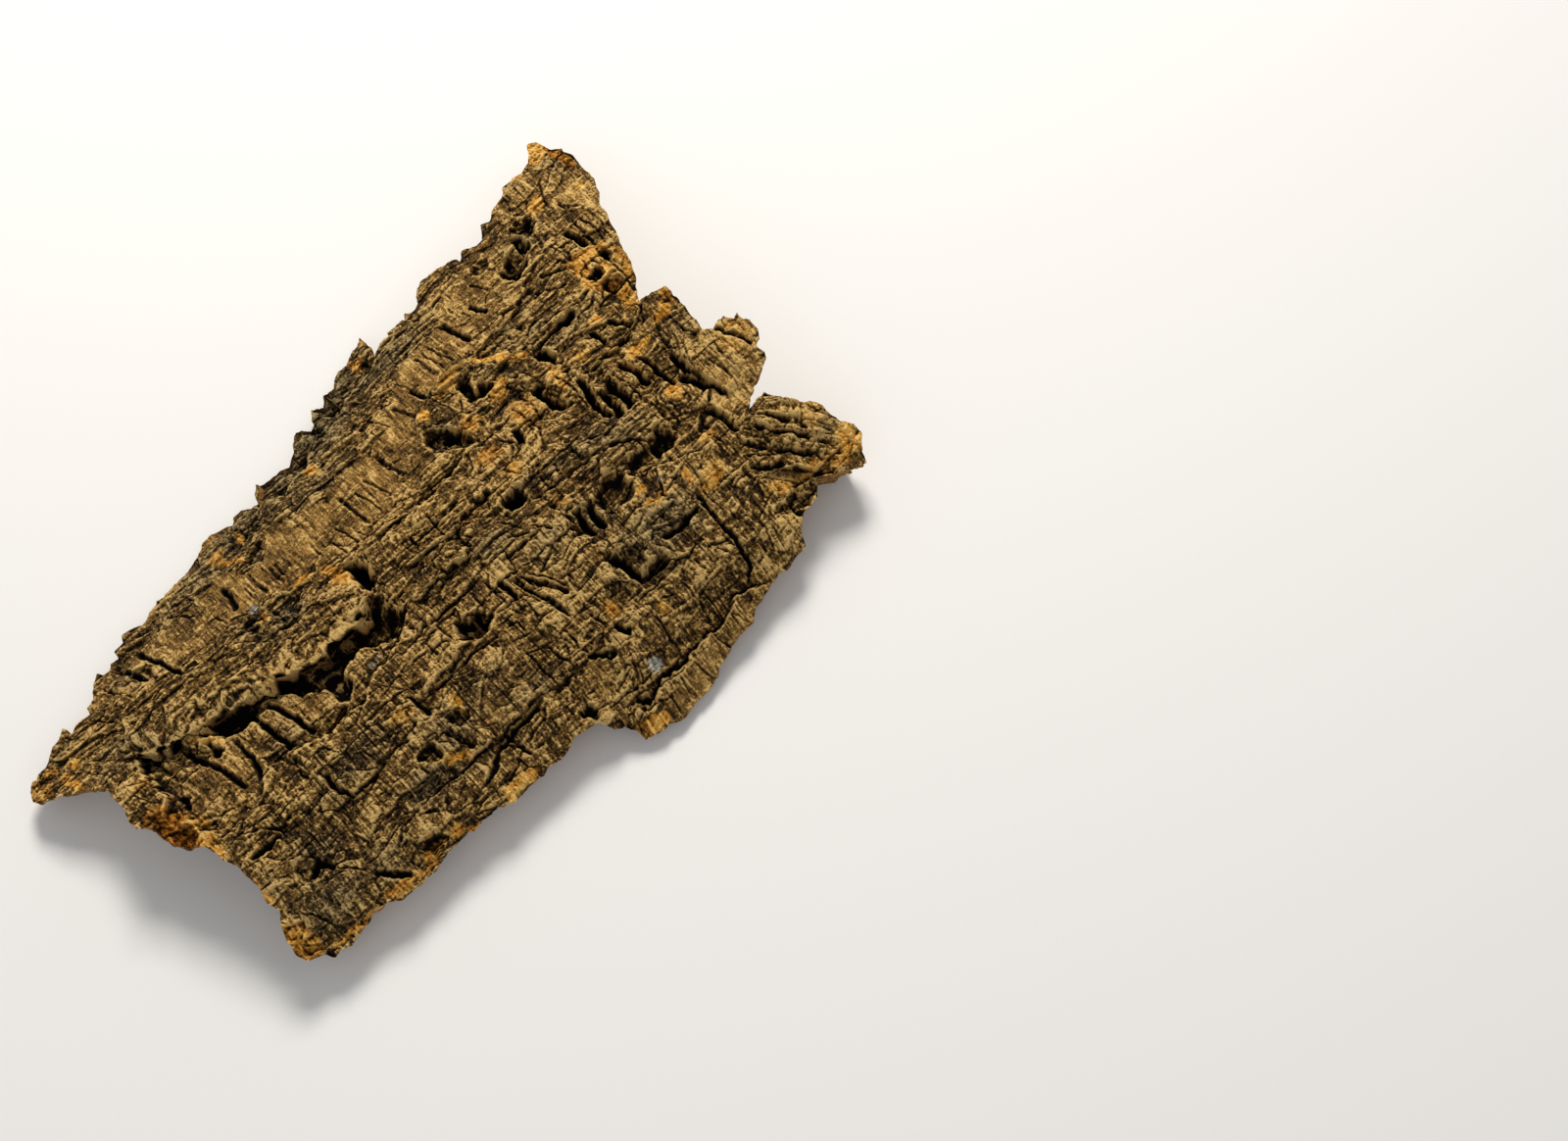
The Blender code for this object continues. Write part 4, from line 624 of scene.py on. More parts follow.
def near(grid_u, grid_v, points, reach):
    """The rows and columns of the map within reach of some points."""
    us, vs = np.array(points, float).T
    cols = slice(*np.searchsorted(grid_u[0], (us.min() - reach, us.max() + reach)))
    rows = slice(*np.searchsorted(grid_v[:, 0], (vs.min() - reach, vs.max() + reach)))
    return rows, cols


def blurred(field, reach):
    """The map with each point averaged over a square that reaches so many millimetres each way."""
    size = max(1, round(reach / MAP_STEP))
    for axis in (0, 1):
        padded = np.concatenate([np.repeat(np.take(field, [0], axis), size + 1, axis), field,
                                 np.repeat(np.take(field, [-1], axis), size, axis)], axis)
        total = np.cumsum(padded, axis)
        count = field.shape[axis]
        high = np.take(total, range(2 * size + 1, 2 * size + 1 + count), axis)
        field = (high - np.take(total, range(count), axis)) / (2 * size + 1)
    return field


outline_u, outline_v = np.array(OUTLINE, float).T
LOW_U, LOW_V = outline_u.min() - 8, outline_v.min() - 8
grid_u, grid_v = np.meshgrid(np.arange(LOW_U, outline_u.max() + 8, MAP_STEP),
                             np.arange(LOW_V, outline_v.max() + 8, MAP_STEP))

# The main forms, as in the solid, with the edges of the broken places jagged.
warp_u = grid_u + 5 * noise(grid_u / 19, grid_v / 15, 3)
warp_v = grid_v + 4 * noise(grid_u / 23, grid_v / 13, 5)
calm = smooth_band(grid_u, grid_v) * np.clip(0.85 + 0.6 * noise(grid_u / 13, grid_v / 9, 9), 0.3, 1)
for cu, cv, half_u, half_v, turned, amount in SMOOTH:
    calm = np.maximum(calm, amount * blob(grid_u, grid_v, cu, cv, half_u, half_v, turned, 1.6))
strip = blob(grid_u, grid_v, 84, -143, 64, 9, 9, 3)
ridged = ledge_zone(grid_u, grid_v) * (1 - calm) * (1 - strip)
crust = 1 - 0.8 * np.maximum(calm, strip)
height = 2.6 * crust * rough(warp_u / 52, warp_v / 15, 11, 3)
bend = np.interp(grid_u, (-220, -150, -100, -60, 0, 150, 220), (30, 12, 3, 0, 0, 0, 10))
layer = (warp_v - bend * np.clip((grid_v + 40) / 20, 0, 1)) / LAYER_WIDTH
layer += 1.1 * rough(grid_u / 70, grid_v / 34, 17, 2)
strong = 0.65 + 0.35 * noise(grid_u / 60, grid_v / 40, 19)
height += (0.35 + 0.65 * ridged) * crust * strong * 3.0 * scarps(layer, 0.14)
seam, plate = cells(warp_u, warp_v, PLATE, 21)
height += crust * (2.2 * (plate - 0.5) - 1.2 * np.exp(-seam * 12))
seam, small_plate = cells(warp_u, warp_v, SMALL_PLATE, 31)
height += crust * (0.9 * (small_plate - 0.5) - 0.4 * np.exp(-seam * 9))
height += 0.7 * noise(warp_u / 4.2, warp_v / 26, 41)

chunk = cells(grid_u, grid_v, CHUNK, 51)[1]
chip = cells(grid_u, grid_v, CHIP, 55)[1]
jagged_u = grid_u + 1.8 * noise(grid_u / 11, grid_v / 9, 53) + 2.4 * (chunk - 0.5) + 0.6 * (chip - 0.5)
jagged_v = grid_v + 1.6 * noise(grid_u / 11, grid_v / 8, 54)
jagged_v += 2.0 * ((7.3 * chunk) % 1 - 0.5)
jagged_v += 0.5 * ((7.3 * chip) % 1 - 0.5)
jagged_u += 0.8 * noise(grid_u / 3.4, grid_v / 3, 61)
jagged_v += 0.8 * noise(grid_u / 3.4, grid_v / 3, 62)
crack_u = grid_u + 0.9 * noise(grid_u / 10, grid_v / 9, 57) + 0.5 * noise(grid_u / 2.4, grid_v / 2.4, 58)
crack_v = grid_v + 0.9 * noise(grid_u / 10, grid_v / 9, 59) + 0.5 * noise(grid_u / 2.4, grid_v / 2.4, 60)
crack_u += 0.7 * (chip - 0.5)
crack_v += 0.7 * (chip - 0.5)

# Steps: how far their lips lean out, how much painted shadow lies under them, and where a hole must not cut
# them.
lean_u, lean_v, shaded, roofed = (np.zeros_like(grid_u) for _ in range(4))
for rise, drop, rise_reach, drop_reach, lip, line in STEPS:
    here = near(grid_u, grid_v, line, 3 * max(rise_reach, drop_reach) + 8)
    far, side, taper = along(jagged_u[here], jagged_v[here], line)
    signed = far * side + 0.5 * lip * noise(grid_u[here] / 6, grid_v[here] / 6, 67)
    upper = np.clip(0.5 + signed / 1.8, 0, 1)
    height[here] += taper * upper * rise * np.exp(-np.maximum(signed, 0) / rise_reach)
    height[here] -= taper * (1 - upper) * drop * np.exp(-np.maximum(-signed, 0) / drop_reach)
    push = lip * taper * upper * np.exp(-((signed / 5) ** 2))
    (au, av), (bu, bv) = line[0], line[-1]
    run = np.hypot(bu - au, bv - av)
    lean_u[here] += push * (bv - av) / run
    lean_v[here] -= push * (bu - au) / run
    # Painted shadow under each lip, darkest just below its edge.
    under = taper * min(1, 0.4 + lip / 10) * np.exp(-(((signed + 1.4) / 3.0) ** 2))
    shaded[here] = np.maximum(shaded[here], under)
    if lip > 4:
        roofed[here] = np.maximum(roofed[here], taper * upper * np.clip((16 - signed) / 3, 0, 1))
for depth, ring in SUNKEN:
    here = near(grid_u, grid_v, ring, 8)
    height[here] -= depth * inside(jagged_u[here], jagged_v[here], ring)
for cu, cv, half_u, half_v, turned, depth in HOLES:
    here = near(grid_u, grid_v, [(cu, cv)], 2 * max(half_u, half_v) + 8)
    dug = depth * blob(jagged_u[here], jagged_v[here], cu, cv, half_u, half_v, turned, 3)
    height[here] -= dug * (1 - roofed[here])
for cu, cv, half_u, half_v, turned, rise in LUMPS:
    here = near(grid_u, grid_v, [(cu, cv)], 2 * max(half_u, half_v) + 8)
    height[here] += rise * blob(jagged_u[here], jagged_v[here], cu, cv, half_u, half_v, turned, 2)


def layered(field, pitch, phase, softness):
    """Breaks slopes into ledges a pitch high, as the yearly layers of the crust do."""
    level = field / pitch + phase
    whole = np.floor(level)
    part = np.clip((level - whole - 0.5) / softness + 0.5, 0, 1)
    return (whole + part * part * (3 - 2 * part) - phase) * pitch


phase = 1.2 * rough(grid_u / 19, grid_v / 8, 65, 3)
height += 0.75 * crust * (layered(height, LEDGE_HEIGHT, phase, 0.4) - height)
uncracked = height.copy()
for width, depth, line in GROOVES + CRACKS:
    here = near(grid_u, grid_v, line, 3 * width + 8)
    far, side, taper = along(crack_u[here], crack_v[here], line)
    height[here] -= depth * taper * np.exp(-((far / (0.3 + 0.5 * width)) ** 3))

# The finer crust: growth lines across the grain, ledges along it on the middle ridge, and over all
# of it small scales, cracks and crumb.
def growth_lines(p, q, seed):
    """Ribs, lines and hair grooves: p runs across them, q along them."""
    ribs = noise(p / 7, q / 60, seed)
    lines = noise(p / 2.4, q / 34, seed + 1)
    hairs = noise(p / 1.2, q / 18, seed + 2)
    groove = np.exp(-np.abs(noise(p / 3.8, q / 46, seed + 3)) * 16)
    groove *= np.clip(0.25 + 1.2 * noise(p / 11, q / 17, seed + 4), 0, 1)
    return 0.9 * ribs + 0.7 * lines + 0.5 * hairs - 1.7 * groove


swing = 5.0 * noise(grid_u / 44, grid_v / 30, 91) + 1.2 * noise(grid_u / 12, grid_v / 9, 93)
swing += 0.5 * noise(grid_u / 5, grid_v / 7, 92)
swing += 0.35 * (grid_v + 50) * blob(grid_u, grid_v, 40, -84, 30, 36, 0, 1)
swing -= 0.3 * (grid_v - 60) * blob(grid_u, grid_v, 186, 100, 36, 42, 0, 1)
ribbed = growth_lines(grid_u + swing, grid_v, 141)
for cu, cv, half_u, half_v, turned, slant in ((192, -86, 26, 26, -45, 1.0), (-186, 38, 34, 22, -30, 0.8)):
    share = blob(grid_u, grid_v, cu, cv, half_u, half_v, turned, 1.6)
    slanting = growth_lines((grid_u + slant * grid_v) / math.hypot(1, slant) + swing, grid_u - grid_v, 151)
    ribbed = ribbed * (1 - share) + 1.3 * slanting * share
height += ribbed * (1.2 - 0.6 * ridged - 0.4 * calm)
ledge = (warp_v - bend) / LEDGE_WIDTH + 1.1 * rough(grid_u / 26, grid_v / 11, 97, 3)
height += (0.1 + 0.9 * ridged) * (1 - calm) * scarps(ledge, 0.22)
seam, scale = cells(jagged_u, jagged_v, SCALE, 101)
split = np.clip(0.2 + noise(grid_u / 26, grid_v / 16, 103), 0, 1) * (1 - calm) * (1 - strip)
height += split * (0.7 * (scale - 0.5) - 1.0 * np.exp(-seam * 13)) + 0.3 * crust * (scale - 0.5)
height += (0.3 + 0.6 * crust) * 0.7 * (chip - 0.5)
height += (0.14 + 0.16 * crust) * noise(grid_u / 0.9, grid_v / 0.9, 121)
height += 0.22 * crust * rough(grid_u / 3.0, grid_v / 2.2, 123, 3)
plated = 0.3 * (plate - 0.5) + 0.45 * (small_plate - 0.5) + 0.4 * (scale - 0.5) + 0.25 * (chip - 0.5)
plated = 0.5 + (1 - 0.6 * calm) * plated

# What the finish needs to know at each point.
# Painted shade: how far each point lies below its surroundings, used to paint the fissures and hollows nearly
# black.
hollow_shade = np.clip((blurred(height, 3.2) - height) / 3.2, 0, 1)
hollow_shade += 0.8 * np.clip((blurred(height, 9) - height - 1.5) / 8, 0, 1)
# Painted shade and painted highlight at the finest scale: darker in small hollows, lighter on small bumps.
fine_relief_shade = np.clip((blurred(height, 0.9) - height) / 0.9, -1, 1)
# Painted highlight: how far each point stands above its surroundings, used to paint the raised edges of the
# plates light.
edge_highlight = np.clip((uncracked - blurred(uncracked, 2.4)) / 2.4 + 0.2 * ribbed, 0, 1)
# Painted shade on the walls: steep faces are painted dark, more so lower down, and the painted shadow under
# the lips is added in.
slope = np.hypot(*np.gradient(height, MAP_STEP))
below = np.clip((blurred(height, 5) - height) / 5 + 0.8, 0, 1)
steep = np.maximum(np.clip((slope - 1.3) / 1.8, 0, 1) * below, shaded)
lichen = np.zeros_like(height)
for cu, cv, radius, amount in LICHEN:
    spot = amount * blob(grid_u + 1.5 * (chip - 0.5), grid_v, cu, cv, radius, radius, 0, 2)
    lichen = np.maximum(lichen, spot)
fresh = np.zeros_like(height)
rust = np.full_like(height, 0.4)
ragged_u = grid_u + 1.8 * noise(grid_u / 4, grid_v / 3.4, 131) + 0.9 * noise(grid_u / 1.6, grid_v / 1.4, 132)
ragged_v = grid_v + 1.8 * noise(grid_u / 4, grid_v / 3.4, 133) + 0.9 * noise(grid_u / 1.6, grid_v / 1.4, 134)
for cu, cv, half_u, half_v, turned, amount, redness in FRESH:
    here = near(grid_u, grid_v, [(cu, cv)], 2 * max(half_u, half_v) + 6)
    patch = amount * blob(ragged_u[here], ragged_v[here], cu, cv, half_u, half_v, turned, 2.4)
    rust[here] = np.where(patch > fresh[here], redness, rust[here])
    fresh[here] = np.maximum(fresh[here], patch)


def patched(places):
    """A map of soft-edged patches, the strongest one where they meet."""
    field = np.zeros_like(height)
    for cu, cv, half_u, half_v, turned, amount in places:
        here = near(grid_u, grid_v, [(cu, cv)], 2 * max(half_u, half_v) + 6)
        patch = amount * blob(ragged_u[here], ragged_v[here], cu, cv, half_u, half_v, turned, 1.2)
        field[here] = np.maximum(field[here], patch)
    return field


weathered = patched(WEATHERED)
bleached = patched(BLEACHED)


def read_map(field, u, v):
    """Value of a map between its points."""
    x = np.clip((u - LOW_U) / MAP_STEP, 0, field.shape[1] - 1.001)
    y = np.clip((v - LOW_V) / MAP_STEP, 0, field.shape[0] - 1.001)
    i, j = x.astype(int), y.astype(int)
    a, b = x - i, y - j
    low = field[j, i] * (1 - a) + field[j, i + 1] * a
    high = field[j + 1, i] * (1 - a) + field[j + 1, i + 1] * a
    return low * (1 - b) + high * b


def torn(points):
    """The outline with its runs broken up by small teeth, as the solid has, and finer ones."""
    ring = []
    for (au, av), (bu, bv) in zip(points, points[1:] + points[:1]):
        pieces = max(1, round(np.hypot(bu - au, bv - av) / RIM_STEP))
        for share in np.arange(pieces) / pieces:
            u, v = np.array([au + (bu - au) * share, av + (bv - av) * share])
            out_u = 1.0 * noise(u / 6, v / 6, 81) + 0.45 * noise(u / 2.4, v / 2.4, 82)
            out_v = 1.2 * noise(u / 6, v / 6, 83) + 0.45 * noise(u / 2.4, v / 2.4, 84)
            ring.append((u + out_u, v + out_v))
    return ring


def prism(name, ring):
    """A ring of points as an upright prism, a little lower and higher than the block."""
    mesh = bpy.data.meshes.new(name)
    bm = bmesh.new()
    base = bm.faces.new([bm.verts.new((u, v, -0.5)) for u, v in ring])
    grown = bmesh.ops.extrude_face_region(bm, geom=[base])["geom"]
    raised = [item for item in grown if isinstance(item, bmesh.types.BMVert)]
    bmesh.ops.translate(bm, vec=(0, 0, 2), verts=raised)
    bmesh.ops.recalc_face_normals(bm, faces=bm.faces)
    bm.to_mesh(mesh)
    bm.free()
    made = bpy.data.objects.new(name, mesh)
    bpy.context.scene.collection.objects.link(made)
    return made


def block(name, low_u, low_v, high_u, high_v):
    """A flat block one unit high: a fine grid on top, a coarse one below, four plain sides."""
    mesh = bpy.data.meshes.new(name)
    bm = bmesh.new()
    sheets = []
    for step, level in ((TOP_STEP, 1), (BELLY_STEP, 0)):
        first = (math.floor(low_u / BELLY_STEP) * BELLY_STEP, math.floor(low_v / BELLY_STEP) * BELLY_STEP)
        count_u = math.ceil((high_u - first[0]) / BELLY_STEP) * round(BELLY_STEP / step)
        count_v = math.ceil((high_v - first[1]) / BELLY_STEP) * round(BELLY_STEP / step)
        made = bmesh.ops.create_grid(bm, x_segments=count_u, y_segments=count_v, size=0.5)["verts"]
        bmesh.ops.scale(bm, vec=(count_u * step, count_v * step, 1), verts=made)
        middle = (first[0] + count_u * step / 2, first[1] + count_v * step / 2, level)
        bmesh.ops.translate(bm, vec=middle, verts=made)
        sheets.append(made)
    for axis, pick in ((0, min), (0, max), (1, min), (1, max)):
        sides = []
        for made in sheets:
            edge = pick(vert.co[axis] for vert in made)
            row = [vert for vert in made if abs(vert.co[axis] - edge) < 0.01]
            sides.append(sorted(row, key=lambda vert: vert.co[1 - axis]))
        bm.faces.new(sides[0] + sides[1][::-1])
    bmesh.ops.recalc_face_normals(bm, faces=bm.faces)
    bm.to_mesh(mesh)
    bm.free()
    made = bpy.data.objects.new(name, mesh)
    bpy.context.scene.collection.objects.link(made)
    return made


def keep_inside(thing, cutter):
    """Cuts away what lies outside the cutter."""
    cut = thing.modifiers.new("cut", "BOOLEAN")
    cut.operation = "INTERSECT"
    cut.solver = "MANIFOLD"
    cut.object = cutter
    bpy.context.view_layer.objects.active = thing
    bpy.ops.object.modifier_apply(modifier=cut.name)


def shape_bark(thing):
    """Turns the flat block into arched bark, and writes what the finish needs at each point."""
    mesh = thing.data
    bm = bmesh.new()
    bm.from_mesh(mesh)
    for level in np.arange(1, RIM_RINGS + 1) / (RIM_RINGS + 1):
        walls = [face for face in bm.faces if abs(face.normal.z) < 0.5]
        parts = set(walls)
        for face in walls:
            parts.update(face.edges)
            parts.update(face.verts)
        bmesh.ops.bisect_plane(bm, geom=list(parts), plane_co=(0, 0, level), plane_no=(0, 0, 1))
        bm.normal_update()
    bmesh.ops.triangulate(bm, faces=bm.faces)
    bmesh.ops.recalc_face_normals(bm, faces=bm.faces)
    bm.to_mesh(mesh)
    bm.free()
    count = len(mesh.vertices)
    place = np.empty(count * 3, np.float32)
    mesh.vertices.foreach_get("co", place)
    place = place.reshape(-1, 3).astype(float)
    faced = np.empty(count * 3, np.float32)
    mesh.vertices.foreach_get("normal", faced)
    faced = faced.reshape(-1, 3)
    u, v, part = place[:, 0], place[:, 1], np.clip(place[:, 2], 0, 1)

    # Only the torn rim leans in, across its general run; the walls where the pieces of the mesh
    # meet stay upright.
    ring = np.array(torn(OUTLINE))
    run = np.roll(ring, -7, 0) - np.roll(ring, 7, 0)
    run /= np.hypot(*run.T)[:, None]
    out = np.zeros((count, 2))
    rim = np.zeros(count, bool)
    for index in np.nonzero(np.hypot(faced[:, 0], faced[:, 1]) > 0.3)[0]:
        far = np.hypot(ring[:, 0] - u[index], ring[:, 1] - v[index])
        nearest = far.argmin()
        if far[nearest] < 1.0:
            rim[index] = True
            out[index] = (-run[nearest, 1], run[nearest, 0])

    # The inner face draws in with the rim, less and less further from it.
    for index in np.nonzero(~rim & (part < 0.01))[0]:
        far = np.hypot(ring[:, 0] - u[index], ring[:, 1] - v[index])
        nearest = far.argmin()
        share = 1 - far[nearest] / DRAW_IN
        if share > 0:
            out[index] = (-run[nearest, 1] * share, run[nearest, 0] * share)

    top = skin(u, v) + read_map(height, u, v) * np.where(rim & (part > 0.99), 0.5, 1)
    bottom = belly(u, v)
    top = np.maximum(top, bottom + MIN_THICKNESS)
    layers = 4.5 * rough(u / 11, v / 9 + part * 4, 61, 2) * np.sin(np.pi * part)
    layers += 1.3 * rough((u + v) / 20, part * 9 + 0.4 * noise(u / 4, v / 4, 64), 63, 3) * (part < 0.99)
    lean = -RIM_LEAN * (1 - part) ** 0.8 + layers
    x = u + out[:, 0] * lean + part**2 * read_map(lean_u, u, v) + SHIFT_X
    y = v + out[:, 1] * lean + part**2 * read_map(lean_v, u, v) + SHIFT_Y
    z = bottom + part * (top - bottom)
    y = np.clip(y, cad_box[0][1] / MM, cad_box[1][1] / MM)
    z = np.minimum(z, cad_box[1][2] / MM)
    mesh.vertices.foreach_set("co", (np.stack([x, y, z], 1) * MM).astype(np.float32).ravel())
    outer = np.where(part > 0.99, 1.0, 0.0)
    for name, values in (
        ("hollow_shade", read_map(hollow_shade, u, v) * outer), ("fine_relief_shade", read_map(fine_relief_shade, u, v) * outer),
        ("edge_highlight", read_map(edge_highlight, u, v) * outer), ("fresh", read_map(fresh, u, v) * outer),
        ("rust", read_map(rust, u, v)), ("weathered", read_map(weathered, u, v) * outer),
        ("calm", read_map(calm, u, v)), ("outer", part),
        ("plated", read_map(plated, u, v)), ("ridged", read_map(ridged, u, v)),
        ("bleached", read_map(bleached, u, v) * outer), ("steep", read_map(steep, u, v) * outer),
        ("lichen", read_map(lichen, u, v) * outer),
    ):
        written = mesh.attributes.new(name, "FLOAT", "POINT")
        written.data.foreach_set("value", values.astype(np.float32))
    mesh.update()


bark = bpy.data.materials.new("virgin_cork_bark")
bark.use_nodes = True

# The bark is one solid: its mesh is made in lengths, so that none is too heavy, and the lengths
# meet edge to edge along lines where the crust has a step or a fissure.
CUT_FAR = ((-250, 8), (-190, 13), (-178, 20), (-168, 15), (-158, 10), (-148, 8), (-137, 4), (-122, 1),
           (-108, -1), (-96, -3), (-84, -7), (-78, -11), (-68, -14), (-58, -11), (-44, -11), (-34, -9),
           (-25, -6), (-25, 12), (-10, 12), (12, 12), (30, 11), (44, 16), (44, 42), (50, 50), (58, 54),
           (68, 57), (80, 58), (92, 57), (112, 62), (128, 66), (146, 76), (160, 74), (172, 66),
           (180, 64), (174, 40), (175, 18), (250, 17.5))
CUT_NEAR = ((-250, -50), (-171, -50), (-160, -50), (-132, -52), (-110, -46), (-92, -48), (-75, -41),
            (-66, -43), (-46, -39), (-30, -30), (-20, -28), (4, -27), (22, -28), (40, -38), (52, -42),
            (66, -42), (76, -60), (70, -70), (77, -80), (79, -91), (99, -90), (128, -90), (150, -84),
            (160, -84), (168, -90), (178, -95), (186, -103), (198, -110), (250, -124))
PIECES = (
    ("bark_far_left", CUT_FAR + ((250, 200), (-250, 200)), (-228, -18, 30, 156)),
    ("bark_far_right", CUT_FAR + ((250, 200), (-250, 200)), (30, -18, 222, 156)),
    ("bark_middle_left", CUT_NEAR + CUT_FAR[::-1], (-198, -126, 30, 86)),
    ("bark_middle_right", CUT_NEAR + CUT_FAR[::-1], (30, -126, 228, 86)),
    ("bark_near_left", ((-250, -200), (250, -200)) + CUT_NEAR[::-1], (-180, -158, 0, -22)),
    ("bark_near_right", ((-250, -200), (250, -200)) + CUT_NEAR[::-1], (0, -158, 228, -22)),
)
rim_cutter = prism("rim_cutter", torn(OUTLINE))
for name, ring, (low_u, low_v, high_u, high_v) in PIECES:
    bpy.ops.object.select_all(action="DESELECT")
    piece = block(name, low_u, low_v, high_u, high_v)
    keep_inside(piece, rim_cutter)
    length_cutter = prism("length_cutter", ring)
    keep_inside(piece, length_cutter)
    bpy.data.objects.remove(length_cutter)
    shape_bark(piece)
    # The cuts leave an empty material slot behind.
    piece.data.materials.clear()
    piece.data.materials.append(bark)
    for polygon in piece.data.polygons:
        polygon.use_smooth = False
    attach(piece, "root")
    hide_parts("cork_bark_slab")
bpy.data.objects.remove(rim_cutter)

# The bark's finish: dry dull cork, brown with grey weathering outside, and cream to rust where it has
# broken open; painted shade makes it nearly black deep in its fissures and on the walls under the lips,
# and painted highlights light the raised edges of the plates.
tree = bark.node_tree
coords = node(tree, "ShaderNodeTexCoord")


def reading(name):
    return node(tree, "ShaderNodeAttribute", attribute_name=name).outputs["Fac"]


def mixed(amount, first, second, way="MIX"):
    made = node(tree, "ShaderNodeMix", data_type="RGBA", blend_type=way, clamp_factor=True)
    for socket, value in (("Factor", amount), ("A", first), ("B", second)):
        feed(tree, value, made.inputs[socket])
    return made.outputs["Result"]


def sums(way, first, second, clamp=False):
    made = node(tree, "ShaderNodeMath", operation=way, use_clamp=clamp)
    for socket, value in zip(made.inputs, (first, second)):
        feed(tree, value, socket)
    return made.outputs["Value"]


def ramp(value, low, high):
    made = node(tree, "ShaderNodeMapRange", {"Value": value, "From Min": low, "From Max": high}, clamp=True)
    return made.outputs["Result"]


def grain(scale_x, scale_y, scale_z, size, detail=4.0, roughness=0.6):
    """Noise with features of the given size in metres, stretched by the three scales."""
    spread = node(tree, "ShaderNodeMapping",
                  {"Vector": coords.outputs["Object"], "Scale": (scale_x, scale_y, scale_z)})
    made = node(tree, "ShaderNodeTexNoise", {"Vector": spread.outputs["Vector"], "Scale": 1 / size,
                                             "Detail": detail, "Roughness": roughness})
    return made.outputs["Fac"]


def shades(value, *stops):
    """A colour for each value: stops are pairs of a place from 0 to 1 and a colour."""
    made = node(tree, "ShaderNodeValToRGB", {"Fac": value})
    band = made.color_ramp
    while len(band.elements) < len(stops):
        band.elements.new(0.5)
    for element, (place, hex_colour) in zip(band.elements, stops):
        element.position = place
        element.color = linear(hex_colour)
    return made.outputs["Color"]


def weighed(*parts):
    """Sum of pairs of a value and its weight."""
    total = None
    for value, weight in parts:
        term = sums("MULTIPLY", value, weight)
        total = term if total is None else sums("ADD", total, term)
    return total


def fissures(scale_x, scale_y, scale_z, size, width):
    """1 on a net of hair cracks round plates of the given size in metres, 0 elsewhere."""
    wander = node(tree, "ShaderNodeTexNoise", {"Vector": coords.outputs["Object"], "Scale": 90.0,
                                               "Detail": 5.0, "Roughness": 0.65})
    moved = node(tree, "ShaderNodeVectorMath", {0: wander.outputs["Color"], 1: (0.009, 0.009, 0.009),
                                                2: coords.outputs["Object"]}, operation="MULTIPLY_ADD")
    spread = node(tree, "ShaderNodeMapping",
                  {"Vector": moved.outputs["Vector"], "Scale": (scale_x, scale_y, scale_z)})
    net = node(tree, "ShaderNodeTexVoronoi", {"Vector": spread.outputs["Vector"], "Scale": 1 / size},
               feature="DISTANCE_TO_EDGE")
    return ramp(net.outputs["Distance"], width, 0.0)


patches = grain(1, 1, 1, 0.022, 3.0)
mottle = grain(1, 1, 1, 0.0045, 4.0)
speck = grain(1, 1, 1, 0.0012, 2.0)
growth = grain(1, 0.10, 0.3, 0.0014, 3.0)
layers = grain(0.14, 1, 1.5, 0.0022, 4.0)
streaks = sums("ADD", growth, sums("MULTIPLY", reading("ridged"), sums("SUBTRACT", layers, growth)))
calm_here = sums("MULTIPLY", reading("calm"), ramp(patches, 0.3, 0.55))
plates = sums("MULTIPLY", fissures(0.7, 1, 1, 0.0055, 0.10), ramp(mottle, 0.45, 0.65))
lines = sums("MULTIPLY", fissures(1, 0.16, 0.3, 0.003, 0.17), ramp(patches, 0.35, 0.6))
cracked = sums("ADD", sums("MULTIPLY", plates, sums("SUBTRACT", 1.0, calm_here)), lines, True)
# The tone adds to the cork's own grain, patches and plates a painted highlight on raised edges and painted
# shade in small hollows.
grain_with_painted_light = weighed((patches, 1.3), (mottle, 0.6), (speck, 1.3), (streaks, 1.5), (reading("plated"), 0.6),
               (reading("edge_highlight"), 0.5), (reading("fine_relief_shade"), -0.45), (cracked, -0.24),
               (reading("bleached"), 0.22))
tone = sums("SUBTRACT", grain_with_painted_light, 2.03, True)
band_tone = sums("SUBTRACT", weighed((grain_with_painted_light, 0.85), (growth, 0.7)), 1.95, True)
crust_brown = shades(tone, (0.0, "#120B04"), (0.3, "#3A2A13"), (0.5, "#614722"), (0.7, "#866430"),
                     (1.0, "#D9B570"))
band_tan = shades(band_tone, (0.0, "#24180A"), (0.25, "#573F1E"), (0.5, "#7E5D2E"), (0.75, "#A37D41"),
                  (1.0, "#D6B26D"))
grey = shades(tone, (0.0, "#0D0A06"), (0.35, "#30271A"), (0.6, "#4C402A"), (1.0, "#978862"))
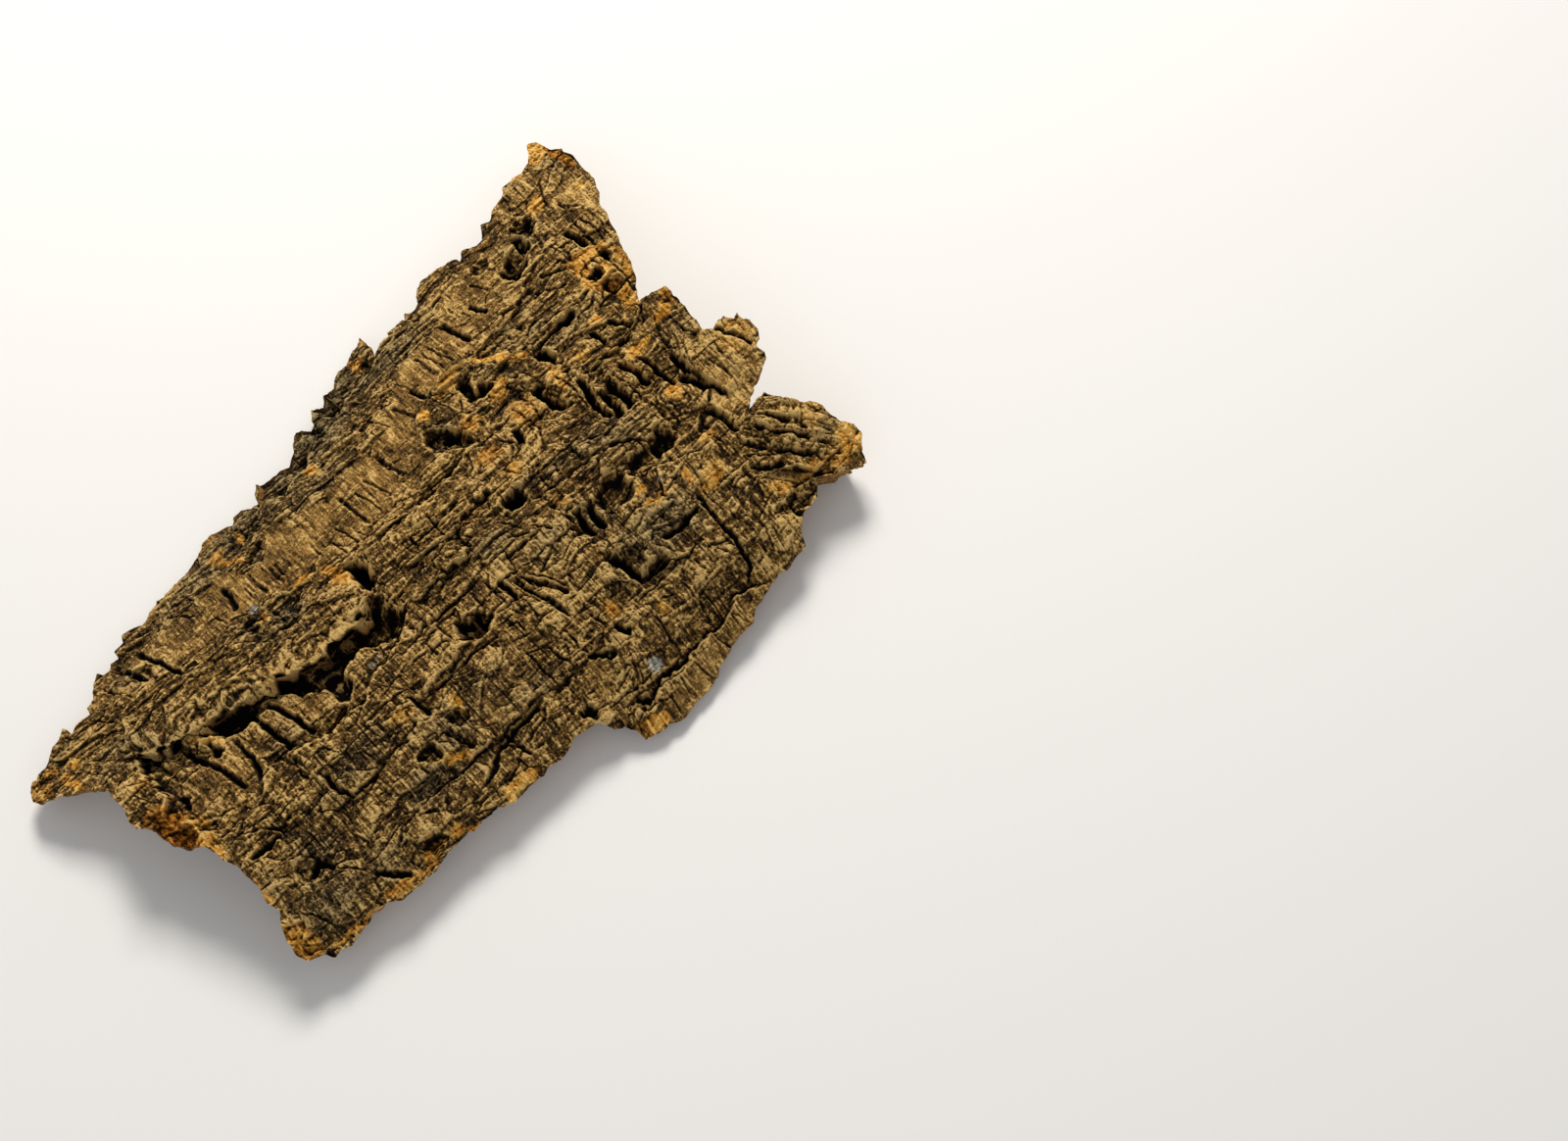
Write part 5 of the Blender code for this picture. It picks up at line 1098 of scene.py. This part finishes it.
cream = shades(tone, (0.0, "#66400E"), (0.3, "#C4842A"), (0.55, "#E4A945"), (1.0, "#F6D17E"))
rusty = shades(tone, (0.0, "#2A1506"), (0.4, "#74430D"), (0.7, "#A66717"), (1.0, "#D59B44"))
colour = mixed(calm_here, crust_brown, band_tan)
colour = mixed(sums("MULTIPLY", reading("weathered"), 0.9), colour, grey)
flakes = sums("MULTIPLY", ramp(speck, 0.58, 0.66), ramp(mottle, 0.45, 0.62))
colour = mixed(sums("MULTIPLY", flakes, 0.5), colour, linear("#D9B878"))
cork = mixed(reading("rust"), cream, rusty)
colour = mixed(ramp(reading("fresh"), 0.06, 0.45), colour, cork)
# Painted shade on the steep walls and under the lips: near-black, striped with the dark brown strata of the
# torn layers.
lamellae = ramp(grain(0.5, 0.5, 4, 0.007), 0.48, 0.66)
wall_strata_and_shade = mixed(lamellae, linear("#0C0804"), shades(tone, (0.0, "#241407"), (1.0, "#99632E")))
colour = mixed(sums("MULTIPLY", reading("steep"), 0.9), colour, wall_strata_and_shade)
colour = mixed(reading("lichen"), colour, shades(speck, (0.35, "#6F6C58"), (0.6, "#D8D8CC")))
strata = ramp(grain(1, 1, 7, 0.010), 0.35, 0.65)
rim_cork = mixed(strata, shades(tone, (0.0, "#24160A"), (1.0, "#8A5D2F")),
                 shades(tone, (0.0, "#5A3B1C"), (1.0, "#CF9E60")))
inner_cork = mixed(ramp(grain(0.1, 1, 1, 0.004), 0.35, 0.65), linear("#8B6A42"), linear("#A9875A"))
torn_side = mixed(ramp(reading("outer"), 0.0, 0.02), inner_cork, rim_cork)
colour = mixed(ramp(reading("outer"), 0.90, 0.995), torn_side, colour)
# Painted shade: the deep fissures and hollows are painted nearly black.
colour = mixed(ramp(reading("hollow_shade"), 0.15, 0.9), colour, linear("#0B0805"))
shader = tree.nodes["Principled BSDF"]
tree.links.new(colour, shader.inputs["Base Color"])
shader.inputs["Roughness"].default_value = 0.95
shader.inputs["Specular IOR Level"].default_value = 0.15
relief = weighed((speck, 1.0), (growth, 0.8), (cracked, -0.4))
bump = node(tree, "ShaderNodeBump", {"Height": relief, "Strength": 0.8, "Distance": 0.0008})
tree.links.new(bump.outputs["Normal"], shader.inputs["Normal"])
